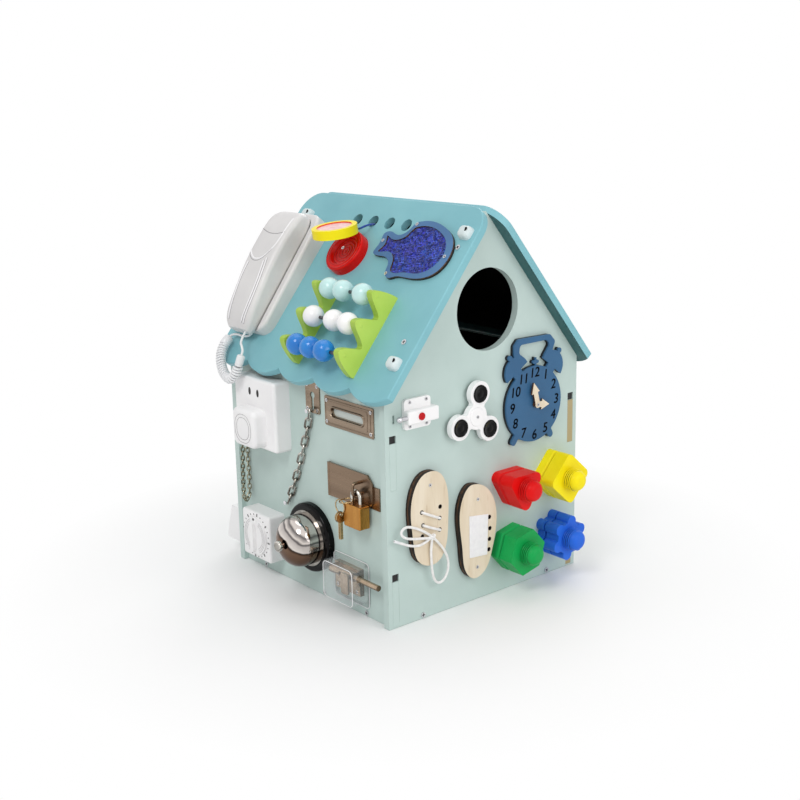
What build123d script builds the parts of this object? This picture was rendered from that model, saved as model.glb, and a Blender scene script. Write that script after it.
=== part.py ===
from build123d import *

import os
from math import cos, radians, sin, tan

os.makedirs("parts", exist_ok=True)

# ---------------------------------------------------------------------------
# Frame: the origin is the middle of the underside, +Z up. The scalloped eave
# and the wall with the locks face -Y, the gable with the window faces +X.
# All sizes are millimetres.
# ---------------------------------------------------------------------------

# House boards
board = 9.0
house_width = 300.0
house_length = 303.0
wall_setback = 6.0
peak_height = 452.5
roof_pitch = 51.0
roof_overhang = 16.5
roof_slope = 240.5
scallop_count = 5
scallop_depth = 11.0
cusp_radius = 1.5
roof_corner_radius = 30.0
eave_corner_radius = 18.0
edge_round = 1.5
wall_top_gap = 0.4

# Hook tabs of the walls in the slots of the gables
slot_bottoms = (2.0, 161.0)
slot_height = 62.0
tab_height = 53.0
tab_clearance = 0.15

# Window, roof holes and the blind keeper slot
window_radius = 47.0
window_y = 2.5
window_z = 343.0
roof_hole_radius = 8.0
roof_hole_slope = 33.5
roof_hole_first = -43.0
roof_hole_spacing = 30.5
roof_hole_count = 4
keeper_y = -137.5
keeper_z = 241.0
keeper_width = 2.6
keeper_height = 9.0
keeper_depth = 4.0

# Screws
screw_radius = 1.5
screw_head = 3.2
screw_head_height = 1.3
small_head = 2.1
small_head_height = 0.8
screw_bite = 7.0
hole_clearance = 0.05
running_clearance = 0.08
open_clearance = 0.3

# Corner blocks of the roof
block_slope = 16.0
block_along = 17.0
block_height = 9.0
block_taper = 12.0
block_round = 2.0
block_hole = 1.8
block_hole_shift = 4.5
block_x_right = 152.5
block_x_left = -141.0
block_slope_top = 36.0
block_slope_low = 202.0

# Telephone
phone_x = -121.0
phone_top = 45.0
phone_length = 161.0
phone_width = 78.0
phone_high = 23.0
phone_low = 15.0
phone_corner = 16.0
phone_edge = 4.0
cradle_depth = 5.0
cradle_gap = 1.2
handset_top = 52.0
handset_length = 161.0
handset_width = 57.0
handset_corner = 15.0
handset_edge = 7.0
handset_sections = [
    (0.5, 21.0, 34.0),
    (9.0, 27.0, 41.5),
    (40.0, 28.5, 46.0),
    (85.0, 28.0, 43.5),
    (125.0, 27.5, 36.5),
    (151.0, 25.5, 29.5),
    (160.5, 20.0, 23.0),
]

# Curly cord and leads of the telephone
coil_radius = 6.5
lead_radius = 1.6
ferrule_radius = 5.0
coil_points = [
    (-146.0, -154.3, 289.8),
    (-146.0, -163.5, 281.5),
    (-138.0, -172.5, 269.0),
    (-127.0, -177.0, 255.0),
    (-111.0, -178.0, 246.5),
    (-98.5, -176.5, 255.0),
    (-95.0, -174.0, 267.0),
]
ferrule_length = 13.5
lead_exit_run = 6.0
base_lead_x = -112.0
base_lead_off = 5.0
base_lead_points = [(-123.0, -147.2, 294.4), (-136.5, -147.0, 295.6)]
handset_lead_x = -107.0
handset_lead_off = 17.0
handset_lead_points = [(-94.0, -168.8, 290.5), (-102.5, -164.6, 292.2)]

# Castanets
castanet_x = -20.5
castanet_slope = 82.0
castanet_radius = 28.0
castanet_thickness = 12.0
castanet_bowl = 20.0
castanet_bowl_depth = 4.0
castanet_hinge_slope = 54.0
castanet_open = 42.0
castanet_lift = 0.75
upper_radius = 27.0
upper_thickness = 11.0
upper_face_radius = 21.0
upper_face_depth = 1.6
castanet_edge = 2.5
elastic_radius = 1.3
elastic_reach = 10.0
elastic_route = [(4.0, -13.5, 10.5), (3.5, -6.5, 4.0), (1.5, -2.0, -2.5), (1.0, -1.0, -9.0)]

# Whale
whale_thickness = 4.0
sequin_thickness = 2.5
whale_outline = [
    (71.3, -30.1),
    (90.3, -27.1),
    (121.3, -34.1),
    (140.3, -46.1),
    (149.3, -66.1),
    (142.3, -89.1),
    (122.3, -99.6),
    (93.3, -101.1),
    (81.3, -102.1),
    (72.3, -105.1),
    (62.3, -100.1),
    (59.3, -88.1),
    (47.3, -79.6),
    (35.3, -79.1),
    (23.3, -76.1),
    (25.3, -63.1),
    (24.8, -49.1),
    (33.3, -46.1),
    (48.3, -49.6),
    (62.3, -42.6),
]
whale_opening = [
    (73.3, -36.6),
    (87.3, -34.1),
    (117.3, -40.6),
    (131.3, -50.1),
    (138.8, -66.1),
    (130.3, -86.1),
    (107.3, -95.1),
    (87.3, -96.1),
    (77.3, -98.1),
    (68.3, -95.1),
    (64.8, -85.1),
    (51.3, -72.6),
    (43.3, -72.6),
    (30.3, -73.6),
    (35.3, -63.1),
    (31.8, -52.1),
    (40.3, -55.1),
    (50.3, -56.1),
    (64.3, -49.1),
]
whale_screw_places = [(71.3, 33.1), (29.3, 59.1), (64.8, 100.1), (142.8, 69.1)]

# Abacus
abacus_left = -10.0
abacus_right = 101.0
bracket_thickness = 9.0
bracket_valley = 10.0
bracket_hump = 35.0
bracket_overhang = 14.0
rod_slopes = (140.0, 177.5, 215.0)
rod_height = 25.5
rod_radius = 2.0
bead_radius = 12.5
bead_gap = 0.3

# Clock
clock_y = 71.0
clock_z = 222.5
clock_radius = 45.5
clock_thickness = 6.0
clock_bell_radius = 19.0
clock_bells = [(43.5, 264.5, 122.0), (100.5, 263.5, 52.0)]
clock_stalk = 14.0
clock_knob = 3.2
clock_feet = [(42.0, 187.0, 52.0), (96.0, 186.5, 118.0)]
clock_foot_length = 22.0
clock_foot_width = 8.0
clock_striker_y = 73.7
clock_striker_z = 272.5
clock_striker_width = 10.0
clock_striker_height = 4.0
clock_handle = [(38, 281), (38, 296), (45, 303), (97, 302), (106, 293), (99, 277)]
clock_handle_inside = [(46, 286), (48, 296), (92, 296), (97, 290), (86, 276), (62, 275)]
clock_handle_round = 4.0
hand_pivot_y = 72.5
hand_pivot_z = 222.0
hand_width = 7.0
hand_arrow = 13.0
hand_thickness = 2.4
minute_length = 28.0
minute_angle = 104.0
hour_length = 22.0
hour_angle = -9.0

# Spinner
spinner_y = -25.6
spinner_z = 225.5
spinner_pitch = 26.3
spinner_lobe = 14.5
spinner_first_angle = 79.0
spinner_back = 4.5
spinner_top = 11.6
spinner_cap = 10.3
spinner_cap_top = 12.2
spinner_hub = 10.6
spinner_post = 5.0
spinner_waist = 9.0

# Indicator lock
lock_y = -125.6
lock_z = 227.0
lock_base_width = 37.6
lock_base_height = 34.0
lock_base_thickness = 4.0
lock_case_z = 234.0
lock_case_width = 43.6
lock_case_height = 15.5
lock_case_top = 12.0
lock_bolt_radius = 2.6
lock_bolt_length = 18.0
lock_bolt_out = 10.0
lock_ball = 3.6
lock_dot_y = -107.8
lock_dot_radius = 4.2
lock_dot_height = 1.2

# Toy bolts: the head against the gable, the nut, the rounded shank
toy_shank = 12.5
toy_length = 52.0
toy_tip = 8.0
toy_head = 12.0
toy_nut_start = 14.5
toy_nut = 19.5
toy_edge = 2.0
toy_bore_clearance = 0.1
toy_places = {
    "red": (31.0, 133.0),
    "yellow": (105.0, 129.0),
    "green": (34.0, 54.0),
    "blue": (105.0, 54.0),
}

# Shoes
sole_thickness = 9.0
lace_hole = 2.2
lace_radius = 1.5
strap_thickness = 1.2
strap_points = [(-37.0, 109.6), (-7.0, 105.5), (-9.0, 56.0), (-36.5, 58.5)]
laced_sole = [
    (-96.0, 175.5),
    (-79.0, 170.0),
    (-69.0, 149.0),
    (-68.5, 113.0),
    (-72.0, 84.0),
    (-83.0, 68.0),
    (-100.0, 66.5),
    (-114.0, 76.0),
    (-120.5, 101.0),
    (-123.0, 137.0),
    (-114.0, 165.0),
]
strapped_sole = [
    (-30.0, 146.0),
    (-8.0, 137.0),
    (5.5, 113.0),
    (6.0, 87.0),
    (-1.0, 58.0),
    (-12.0, 37.0),
    (-29.0, 31.5),
    (-42.0, 43.0),
    (-47.0, 70.0),
    (-51.0, 104.0),
    (-46.0, 133.0),
]
lace_holes = [
    (-80.4, 131.6),
    (-81.3, 118.4),
    (-81.3, 104.7),
    (-107.3, 131.0),
    (-106.0, 115.7),
    (-107.0, 102.8),
]
strap_holes = [(-4.6, 101.0), (-4.0, 87.0), (-4.6, 74.0), (-5.6, 61.4)]
knot_y = -96.0
knot_z = 101.0
knot_radius = 4.2
loop_left = [
    (-96.0, 101.0, 13.0),
    (-106.0, 109.0, 12.5),
    (-120.0, 117.0, 12.0),
    (-133.0, 121.5, 11.0),
    (-140.0, 115.0, 10.0),
    (-134.0, 107.5, 11.0),
    (-120.0, 104.0, 12.0),
    (-106.0, 101.5, 12.5),
    (-97.0, 99.5, 13.0),
]
free_end = [
    (-97.0, 99.5, 11.5),
    (-109.0, 94.0, 11.8),
    (-124.0, 96.0, 11.0),
    (-136.0, 101.5, 9.0),
    (-146.0, 106.5, 7.0),
]
loop_hanging = [
    (-96.0, 101.0, 13.0),
    (-97.5, 88.0, 12.0),
    (-96.5, 74.0, 11.2),
    (-95.0, 60.0, 10.5),
    (-91.0, 46.0, 9.5),
    (-82.0, 40.0, 9.0),
    (-73.0, 46.0, 9.5),
    (-69.5, 60.0, 10.5),
    (-74.0, 75.0, 11.5),
    (-84.0, 89.0, 12.2),
    (-95.0, 100.0, 13.0),
]

# Socket and plug
socket_x = -120.0
socket_z = 167.0
socket_side = 86.0
socket_depth = 22.0
socket_round = 4.0
slit_width = 2.4
slit_height = 9.0
slit_depth = 14.0
slit_places = [(-86.0, 236.0), (-69.0, 235.5)]
plug_x = -77.0
plug_z = 171.0
plug_width = 48.0
plug_height = 47.0
plug_depth = 18.0
plug_round = 9.0
plug_edge = 6.0
plug_pin_spacing = 19.0
plug_pin_width = 2.0
plug_pin_height = 7.0
plug_pin_length = 12.0
plug_pin_z = 196.0

# Tether chain of the plug
tether_link_length = 9.0
tether_link_width = 5.6
tether_wire = 0.75
tether_points = [
    (-98.0, -172.0, 170.7),
    (-104.0, -169.5, 140.0),
    (-111.0, -166.0, 112.0),
    (-117.0, -162.0, 92.0),
    (-121.0, -155.5, 86.0),
    (-124.5, -149.0, 93.0),
    (-126.0, -147.5, 115.0),
    (-127.0, -147.5, 140.0),
    (-127.0, -147.5, 166.0),
]

# Door chain
door_plate_x = 1.0
door_plate_z = 224.0
door_plate_width = 27.0
door_plate_height = 37.0
plate_thickness = 1.5
door_link_length = 18.0
door_link_width = 9.5
door_wire = 1.3
door_chain_points = [
    (15.7, -150.0, 231.2),
    (7.6, -148.2, 208.0),
    (-7.5, -147.9, 169.0),
    (-26.0, -147.9, 128.0),
    (-44.0, -147.9, 96.0),
]
link_play = 0.2
chain_pin = 0.6
chain_pin_head = 2.6
keyhole_radius = 4.2
keyhole_rise = 17.0
keyhole_slot = 4.4

# Flush pull
pull_x = 37.5
pull_z = 215.0
pull_width = 89.0
pull_height = 34.5
pull_wall = 1.2
pull_cup_x = 46.0
pull_cup_z = 222.0
pull_cup_width = 67.7
pull_cup_height = 20.0
pull_cup_depth = 7.0

# Hasp and padlock
hasp_x = 43.5
hasp_z = 132.0
hasp_length = 80.5
hasp_height = 40.0
hasp_base_end = 134.0
hasp_base_z = 134.0
hasp_base_height = 26.0
hasp_leaf = 2.0
hasp_chamfer = 9.0
hasp_knuckle = 2.2
staple_x = 104.0
staple_z = 155.5
staple_half = 6.5
staple_radius = 1.8
staple_top = 15.4
padlock_width = 30.0
padlock_z = 111.0
padlock_height = 27.0
padlock_back = 3.8
padlock_depth = 14.0
padlock_round = 2.5
shackle_radius = 2.2
shackle_half = 7.5
ring_wire = 0.7
link_ring_radius = 9.0
link_ring_z = 140.6
link_ring_turn = 32.0
link_ring_drop = 7.0
key_ring_radius = 8.0
key_blade_length = 23.0
key_blade_width = 3.6
key_thickness = 1.6
key_bow = 6.5
key_hole = 2.2
key_spacing = 2.4

# Bell
bell_x = 4.0
bell_z = 70.0
bell_base_radius = 42.0
bell_base_thickness = 9.0
bell_base_edge = 3.5
bell_flange = 34.0
bell_radius = 31.0
bell_shoulder = 12.0
bell_top = 45.0
bell_wall = 1.4
bell_plunger_radius = 2.6
bell_plunger_tail = 14.0
bell_knob = 6.5
bell_knob_top = 53.0
bell_travel = 3.0

# Clear cover and barrel bolt
cover_x = 50.0
cover_z = 15.0
cover_width = 57.0
cover_height = 46.0
cover_depth = 22.0
cover_wall = 1.4
cover_round = 6.0
cover_flange = 5.0
bolt_plate_x = 54.0
bolt_plate_z = 24.0
bolt_plate_width = 46.0
bolt_plate_height = 32.0
bolt_plate_thickness = 6.0
bolt_axis_z = 49.0
bolt_axis_off = 12.0
bolt_rod_radius = 3.4
bolt_barrel_radius = 5.2
bolt_rod_end = 142.0
bolt_throw = 12.0
bolt_handle_x = 89.0
bolt_handle_width = 13.0
bolt_handle_length = 25.0
bolt_handle_thickness = 2.4
bolt_handle_off = 17.6
bolt_peg = 2.0

# Timer
timer_x = -116.0
timer_z = 22.0
timer_width = 60.0
timer_height = 60.0
timer_depth = 23.0
timer_round = 4.0
timer_dial_x = -86.0
timer_dial_z = 52.0
timer_dial_radius = 24.0
timer_dial_height = 2.4
timer_grip_length = 40.0
timer_grip_width = 7.0
timer_grip_height = 5.0
timer_stem = 4.0
timer_stem_length = 8.0

# Side housing on the left gable
side_y = -145.0
side_z = 18.0
side_width = 26.0
side_height = 46.0
side_reach_top = 24.0
side_reach_low = 38.0
side_round = 3.0

# ---------------------------------------------------------------------------
# Worked-out sizes and places
# ---------------------------------------------------------------------------
pitch = radians(roof_pitch)
gable_x = house_length / 2
gable_inner = gable_x - board
wall_y = house_width / 2 - wall_setback
wall_inner = wall_y - board
eaves_height = peak_height - house_width / 2 * tan(pitch)
wall_height = peak_height - wall_y * tan(pitch) - wall_top_gap
roof_length = house_length + 2 * roof_overhang
scallop_width = roof_length / scallop_count
ridge_y = board * sin(pitch)
ridge_z = peak_height + board * cos(pitch)


def front(off=0.0):
    """Plane on the front wall: local x is X, local y is Z, local z points away from the wall."""
    return Plane(origin=(0, -wall_y - off, 0), x_dir=(1, 0, 0), z_dir=(0, -1, 0))


def gable(off=0.0):
    """Plane on the window gable: local x is Y, local y is Z, local z points away from it."""
    return Plane(origin=(gable_x + off, 0, 0), x_dir=(0, 1, 0), z_dir=(1, 0, 0))


def roof(off=0.0, side=-1):
    """Plane on a roof panel: local x runs along the ridge, local -y down the slope, and local z
    points away from the panel. Side -1 is the front panel and 1 the back one."""
    return Plane(
        origin=(0, side * (ridge_y + off * sin(pitch)), ridge_z + off * cos(pitch)),
        x_dir=(-side, 0, 0),
        z_dir=(0, side * sin(pitch), cos(pitch)),
    )


def roof_side(x):
    """Upright plane across the front roof panel: local x runs down the slope, local y away from
    the panel and local z along -X."""
    return Plane(origin=(x, -ridge_y, ridge_z), x_dir=(0, -cos(pitch), -sin(pitch)), z_dir=(-1, 0, 0))


def on(plane, x, y, off=0.0):
    """The same plane moved to the local point (x, y, off)."""
    return Plane(plane.from_local_coords((x, y, off)), x_dir=plane.x_dir, z_dir=plane.z_dir)


def tilted(plane, angle):
    """The same plane turned about its own x direction."""
    return Plane(plane.location * Location((0, 0, 0), (angle, 0, 0)))


def drill(places):
    """Cut the shank holes of screws, each given as its head's seat and its grip."""
    for seat, grip in places:
        with Locations(seat):
            Cylinder(
                screw_radius + hole_clearance,
                grip + screw_bite,
                align=(Align.CENTER, Align.CENTER, Align.MAX),
                mode=Mode.SUBTRACT,
            )


def finish(piece, name):
    """Label a finished piece and write it as one STEP file."""
    piece.part.label = name
    export_step(piece.part, f"parts/{name}.step")


def face_edges(piece, plane, off):
    """Edges of a piece that lie at one height over a plane."""
    level = [
        edge
        for edge in piece.edges()
        if all(
            abs(plane.to_local_coords(edge.position_at(share)).Z - off) < 0.001
            for share in (0.0, 0.37, 0.5, 1.0)
        )
    ]
    return ShapeList(level)


# ---------------------------------------------------------------------------
# Screws, grouped by what their heads hold: (seat of the head, grip under the head)
# ---------------------------------------------------------------------------
gable_screws = [(on(gable(), y, z), board) for y, z in ((-100.6, 4.5), (100.0, 4.5))]
front_screws = [(on(front(), x, z), board) for x, z in ((-100.0, 4.5), (24.0, 4.5), (104.6, 4.5))]
whale_screws = [(on(roof(whale_thickness), x, -s), whale_thickness) for x, s in whale_screw_places]
lock_screws = [
    (on(gable(lock_base_thickness), y, z), lock_base_thickness)
    for y in (lock_y + 7.5, lock_y + 31.0)
    for z in (lock_z + 3.6, lock_z + lock_base_height - 3.4)
]
sole_screws = [
    (on(gable(sole_thickness), y, z), sole_thickness)
    for y, z in ((-95.0, 160.0), (-23.0, 127.0), (-24.3, 44.6))
]
pull_screws = [
    (on(front(pull_wall), pull_x + x, pull_z + z), pull_wall)
    for x in (4.5, pull_width - 4.5)
    for z in (5.0, pull_height - 5.0)
]
door_plate_screws = [
    (on(front(plate_thickness), door_plate_x + x, door_plate_z + z), plate_thickness)
    for x in (4.0, door_plate_width - 4.0)
    for z in (4.5, door_plate_height - 4.5)
]
bolt_screws = [
    (on(front(bolt_plate_thickness), bolt_plate_x + x, bolt_plate_z + 4.5), bolt_plate_thickness)
    for x in (5.0, bolt_plate_width - 5.0)
]
clock_screws = [
    (on(gable(clock_thickness + 2 * hand_thickness + 0.4), hand_pivot_y, hand_pivot_z),
     clock_thickness + 2 * hand_thickness + 0.4),
]
spinner_screws = [(on(gable(spinner_cap_top), spinner_y, spinner_z), spinner_cap_top)]
roof_caps = [(on(roof(), x, -s), 0.0) for x, s in ((150.8, 54.0), (148.0, 175.0))]
corner_blocks = [
    (block_x_right, block_slope_top, 1),
    (block_x_right, block_slope_low, 1),
    (block_x_left, block_slope_top, 1),
]
castanet_screws = [
    (on(roof(castanet_thickness - castanet_bowl_depth), -28.0, -78.0),
     castanet_thickness - castanet_bowl_depth),
]

# ---------------------------------------------------------------------------
# House
# ---------------------------------------------------------------------------


def gable_board(x_outer, with_window):
    """A gable with its tab slots, its outer face in the plane X = x_outer, cut towards -X."""
    middle = wall_y - board / 2
    with BuildSketch(Plane(origin=(x_outer, 0, 0), x_dir=(0, 1, 0), z_dir=(1, 0, 0))) as outline:
        with BuildLine():
            Polyline(
                (-house_width / 2, 0),
                (house_width / 2, 0),
                (house_width / 2, eaves_height),
                (0, peak_height),
                (-house_width / 2, eaves_height),
                close=True,
            )
        make_face()
        for bottom in slot_bottoms:
            with Locations((-middle, bottom + slot_height / 2), (middle, bottom + slot_height / 2)):
                Rectangle(board + 2 * tab_clearance, slot_height, mode=Mode.SUBTRACT)
        if with_window:
            with Locations((window_y, window_z)):
                Circle(window_radius, mode=Mode.SUBTRACT)
    extrude(outline.sketch, amount=-board)


def wall_board(side):
    """A wall with its hook tabs, side -1 in front and 1 at the back."""
    face = Plane(origin=(0, side * wall_y, 0), x_dir=(1, 0, 0), z_dir=(0, -1, 0))
    with BuildSketch(face) as outline:
        with Locations((0, wall_height / 2)):
            Rectangle(2 * gable_inner, wall_height)
        for bottom in slot_bottoms:
            with Locations((0, bottom + tab_clearance + tab_height / 2)):
                Rectangle(house_length, tab_height)
    extrude(outline.sketch, amount=side * board)


def roof_board(side):
    """A roof panel with its scalloped eave and rounded corners."""
    half = roof_length / 2
    with BuildSketch(roof(0.0, side)) as outline:
        with BuildLine():
            Polyline((half, -roof_slope), (half, 0), (-half, 0), (-half, -roof_slope))
            for step in range(scallop_count):
                start = -half + step * scallop_width
                ThreePointArc(
                    (start, -roof_slope),
                    (start + scallop_width / 2, -roof_slope - scallop_depth),
                    (start + scallop_width, -roof_slope),
                )
        make_face()
        fillet(outline.vertices().group_by(Axis.Y)[-1], roof_corner_radius)
        ends = outline.vertices().group_by(Axis.X)
        low_corners = [ends[0].sort_by(Axis.Y)[0], ends[-1].sort_by(Axis.Y)[0]]
        cusps = [point for point in outline.vertices() if abs(point.Y + roof_slope) < 0.01]
        fillet([point for point in cusps if abs(point.X) < half - 1], cusp_radius)
        fillet(low_corners, eave_corner_radius)
    extrude(outline.sketch, amount=-board)


with BuildPart() as gable_right:
    gable_board(gable_x, True)
    with BuildSketch(gable()):
        with Locations((keeper_y, keeper_z)):
            Rectangle(keeper_width, keeper_height)
    extrude(amount=-keeper_depth, mode=Mode.SUBTRACT)
    drill(gable_screws + lock_screws + sole_screws + clock_screws + spinner_screws)
finish(gable_right, "gable_right")

with BuildPart() as gable_left:
    gable_board(-gable_inner, False)
finish(gable_left, "gable_left")

with BuildPart() as wall_front:
    wall_board(-1)
    with BuildSketch(front()):
        with Locations((pull_cup_x + pull_cup_width / 2, pull_cup_z + pull_cup_height / 2)):
            Rectangle(pull_cup_width, pull_cup_height)
    extrude(amount=-pull_cup_depth - pull_wall, mode=Mode.SUBTRACT)
    drill(front_screws + pull_screws + door_plate_screws + bolt_screws)
finish(wall_front, "wall_front")

with BuildPart() as wall_back:
    wall_board(1)
finish(wall_back, "wall_back")

with BuildPart() as floor_panel:
    with BuildSketch():
        Rectangle(2 * gable_inner, 2 * wall_inner)
    extrude(amount=board)
    drill(gable_screws + front_screws)
finish(floor_panel, "floor_panel")

with BuildPart() as roof_front:
    roof_board(-1)
    fillet(face_edges(roof_front, roof(), 0.0), edge_round)
    with BuildSketch(roof()):
        for hole in range(roof_hole_count):
            with Locations((roof_hole_first + hole * roof_hole_spacing, -roof_hole_slope)):
                Circle(roof_hole_radius)
    extrude(amount=-board, mode=Mode.SUBTRACT)
    drill(whale_screws + castanet_screws + roof_caps)
finish(roof_front, "roof_front")

with BuildPart() as roof_back:
    roof_board(1)
    fillet(face_edges(roof_back, roof(0.0, 1), 0.0), edge_round)
finish(roof_back, "roof_back")

with BuildPart() as roof_corner_blocks:
    for x, s, side in corner_blocks:
        with BuildSketch(roof()):
            with Locations((x, -s)):
                Rectangle(block_along, block_slope)
        extrude(amount=block_height, taper=block_taper)
    fillet(roof_corner_blocks.edges().filter_by(GeomType.LINE) - face_edges(roof_corner_blocks, roof(), 0.0),
           block_round)
    for x, s, side in corner_blocks:
        with Locations(on(roof(block_height), x + side * block_hole_shift, -s)):
            Hole(block_hole, block_height - 1.5)
finish(roof_corner_blocks, "roof_corner_blocks")

# ---------------------------------------------------------------------------
# Telephone
# ---------------------------------------------------------------------------
phone_middle = phone_top + phone_length / 2
handset_middle = handset_top + handset_length / 2


def cradle_floor(slope):
    """Height of the cradle's floor over the roof at one distance down the slope."""
    share = (slope - phone_top) / phone_length
    return phone_high + (phone_low - phone_high) * share - cradle_depth


with BuildPart() as phone_base:
    with BuildSketch(roof()):
        with Locations((phone_x, -phone_middle)):
            RectangleRounded(phone_width, phone_length, phone_corner)
    extrude(amount=phone_high)
    with BuildSketch(roof_side(phone_x)):
        with BuildLine():
            Polyline(
                (phone_top, phone_high),
                (phone_top + phone_length, phone_low),
                (phone_top + phone_length, phone_high + 1),
                (phone_top, phone_high + 1),
                close=True,
            )
        make_face()
    extrude(amount=phone_width / 2, both=True, mode=Mode.SUBTRACT)
    top_face = max(phone_base.faces(), key=lambda face: roof().to_local_coords(face.center()).Z)
    fillet(top_face.edges(), phone_edge)
    with BuildSketch(roof()):
        with Locations((phone_x, -handset_middle)):
            RectangleRounded(
                handset_width + 2 * cradle_gap,
                handset_length + 2 * cradle_gap,
                handset_corner + cradle_gap,
            )
    cradle = extrude(amount=2 * phone_high, mode=Mode.PRIVATE)
    with BuildSketch(roof_side(phone_x)):
        with BuildLine():
            Polyline(
                (phone_top, cradle_floor(phone_top)),
                (phone_top + 2 * phone_length, cradle_floor(phone_top + 2 * phone_length)),
                (phone_top + 2 * phone_length, 2 * phone_high),
                (phone_top, 2 * phone_high),
                close=True,
            )
        make_face()
    above_floor = extrude(amount=phone_width, both=True, mode=Mode.PRIVATE)
    add(cradle & above_floor, mode=Mode.SUBTRACT)
finish(phone_base, "phone_base")

with BuildPart() as phone_handset:
    for along, half_width, top in handset_sections:
        seat = cradle_floor(handset_top + along) + open_clearance
        section = Plane(
            roof().from_local_coords((phone_x, -handset_top - along, (seat + top) / 2)),
            x_dir=(1, 0, 0),
            z_dir=roof_side(0).x_dir,
        )
        with BuildSketch(section):
            RectangleRounded(2 * half_width, top - seat, min(handset_edge, (top - seat) / 2 - 0.5))
    loft()
finish(phone_handset, "phone_handset")


def bend_radii(points):
    """Radius of each bend of a route: as large as its two runs allow."""
    radii = []
    for before, corner, after in zip(points, points[1:], points[2:]):
        first = Vector(corner) - Vector(before)
        second = Vector(after) - Vector(corner)
        turn = radians(first.get_angle(second))
        radii.append(0.45 * min(first.length, second.length) / tan(turn / 2))
    return radii


def tube(points, radius):
    """A round tube along a route of straight runs and tangent arcs, added to the piece."""
    with BuildLine() as route:
        FilletPolyline(*points, radius=bend_radii(points))
    start = route.line @ 0
    with BuildSketch(Plane(origin=start, z_dir=route.line % 0)) as section:
        Circle(radius)
    sweep(section.sketch, path=route.line)
    print("bends", [round(value, 1) for value in bend_radii(points)])


with BuildPart() as phone_cord_coil:
    tube(coil_points, coil_radius)
finish(phone_cord_coil, "phone_cord_coil")

coil_start = (Vector(coil_points[0]) - Vector(coil_points[1])).normalized()
coil_end = (Vector(coil_points[-1]) - Vector(coil_points[-2])).normalized()
ferrule_end = Vector(coil_points[-1]) + coil_end * ferrule_length
down_slope = roof_side(0).x_dir
base_exit = roof().from_local_coords((base_lead_x, -phone_top - phone_length, base_lead_off))
handset_exit = roof().from_local_coords(
    (handset_lead_x, -handset_top - handset_sections[-1][0], handset_lead_off)
)
with BuildPart() as phone_cord_leads:
    tube([
        base_exit,
        base_exit + down_slope * lead_exit_run,
        *base_lead_points,
        Vector(coil_points[0]) + coil_start * lead_exit_run,
        coil_points[0],
    ], lead_radius)
    tube([
        ferrule_end,
        ferrule_end + coil_end * lead_exit_run,
        *handset_lead_points,
        handset_exit + down_slope * lead_exit_run,
        handset_exit,
    ], lead_radius)
    with BuildSketch(Plane(origin=coil_points[-1], z_dir=coil_end)):
        Circle(ferrule_radius)
    extrude(amount=ferrule_length)
finish(phone_cord_leads, "phone_cord_leads")

# ---------------------------------------------------------------------------
# Castanets
# ---------------------------------------------------------------------------
hinge_reach = castanet_slope - castanet_hinge_slope
hinge_plane = on(roof(), castanet_x, -castanet_hinge_slope, castanet_thickness + castanet_lift)
upper_plane = tilted(hinge_plane, -castanet_open)
elastic_groove = elastic_radius + open_clearance

with BuildPart() as castanet_lower:
    with BuildSketch(roof()):
        with Locations((castanet_x, -castanet_slope)):
            Circle(castanet_radius)
    extrude(amount=castanet_thickness)
    with BuildSketch(roof(castanet_thickness)):
        with Locations((castanet_x, -castanet_slope)):
            Circle(castanet_bowl)
    extrude(amount=-castanet_bowl_depth, mode=Mode.SUBTRACT, taper=20)
    fillet(face_edges(castanet_lower, roof(), castanet_thickness)[0:1], castanet_edge)
    drill(castanet_screws)
finish(castanet_lower, "castanet_lower")

with BuildPart() as castanet_upper:
    with BuildSketch(upper_plane):
        with Locations((0, -hinge_reach)):
            Circle(upper_radius)
    extrude(amount=upper_thickness)
    with BuildSketch(on(upper_plane, 0, -hinge_reach, upper_thickness)):
        Circle(upper_face_radius)
    extrude(amount=-upper_face_depth, mode=Mode.SUBTRACT)
    with BuildSketch(on(upper_plane, 0, -hinge_reach)):
        Circle(castanet_bowl)
    extrude(amount=castanet_bowl_depth, mode=Mode.SUBTRACT, taper=20)
    with BuildSketch(Plane(hinge_plane.origin, z_dir=hinge_plane.x_dir)):
        Circle(elastic_groove)
    extrude(amount=upper_radius, both=True, mode=Mode.SUBTRACT)
finish(castanet_upper, "castanet_upper")

elastic_hole = roof_hole_first + roof_hole_spacing
with BuildPart() as castanet_elastic:
    tube([
        hinge_plane.from_local_coords((-elastic_reach, 0, 0)),
        hinge_plane.from_local_coords((elastic_reach - 3.0, 0, 0)),
        *[
            roof().from_local_coords((elastic_hole + x, y - roof_hole_slope, off))
            for x, y, off in elastic_route
        ],
    ], elastic_radius)
finish(castanet_elastic, "castanet_elastic")

# ---------------------------------------------------------------------------
# Whale
# ---------------------------------------------------------------------------
with BuildPart() as whale_frame:
    with BuildSketch(roof()):
        with BuildLine():
            Spline(*whale_outline, periodic=True)
        make_face()
        with BuildLine():
            Spline(*whale_opening, periodic=True)
        make_face(mode=Mode.SUBTRACT)
    extrude(amount=whale_thickness)
    drill(whale_screws)
finish(whale_frame, "whale_frame")

with BuildPart() as whale_sequins:
    with BuildSketch(roof()):
        with BuildLine():
            Spline(*whale_opening, periodic=True)
        make_face()
    extrude(amount=sequin_thickness)
finish(whale_sequins, "whale_sequins")

# ---------------------------------------------------------------------------
# Abacus
# ---------------------------------------------------------------------------
bracket_start = rod_slopes[0] - bracket_overhang
bracket_end = rod_slopes[-1] + bracket_overhang
bracket_faces = (abacus_left, abacus_right - bracket_thickness)


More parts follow.
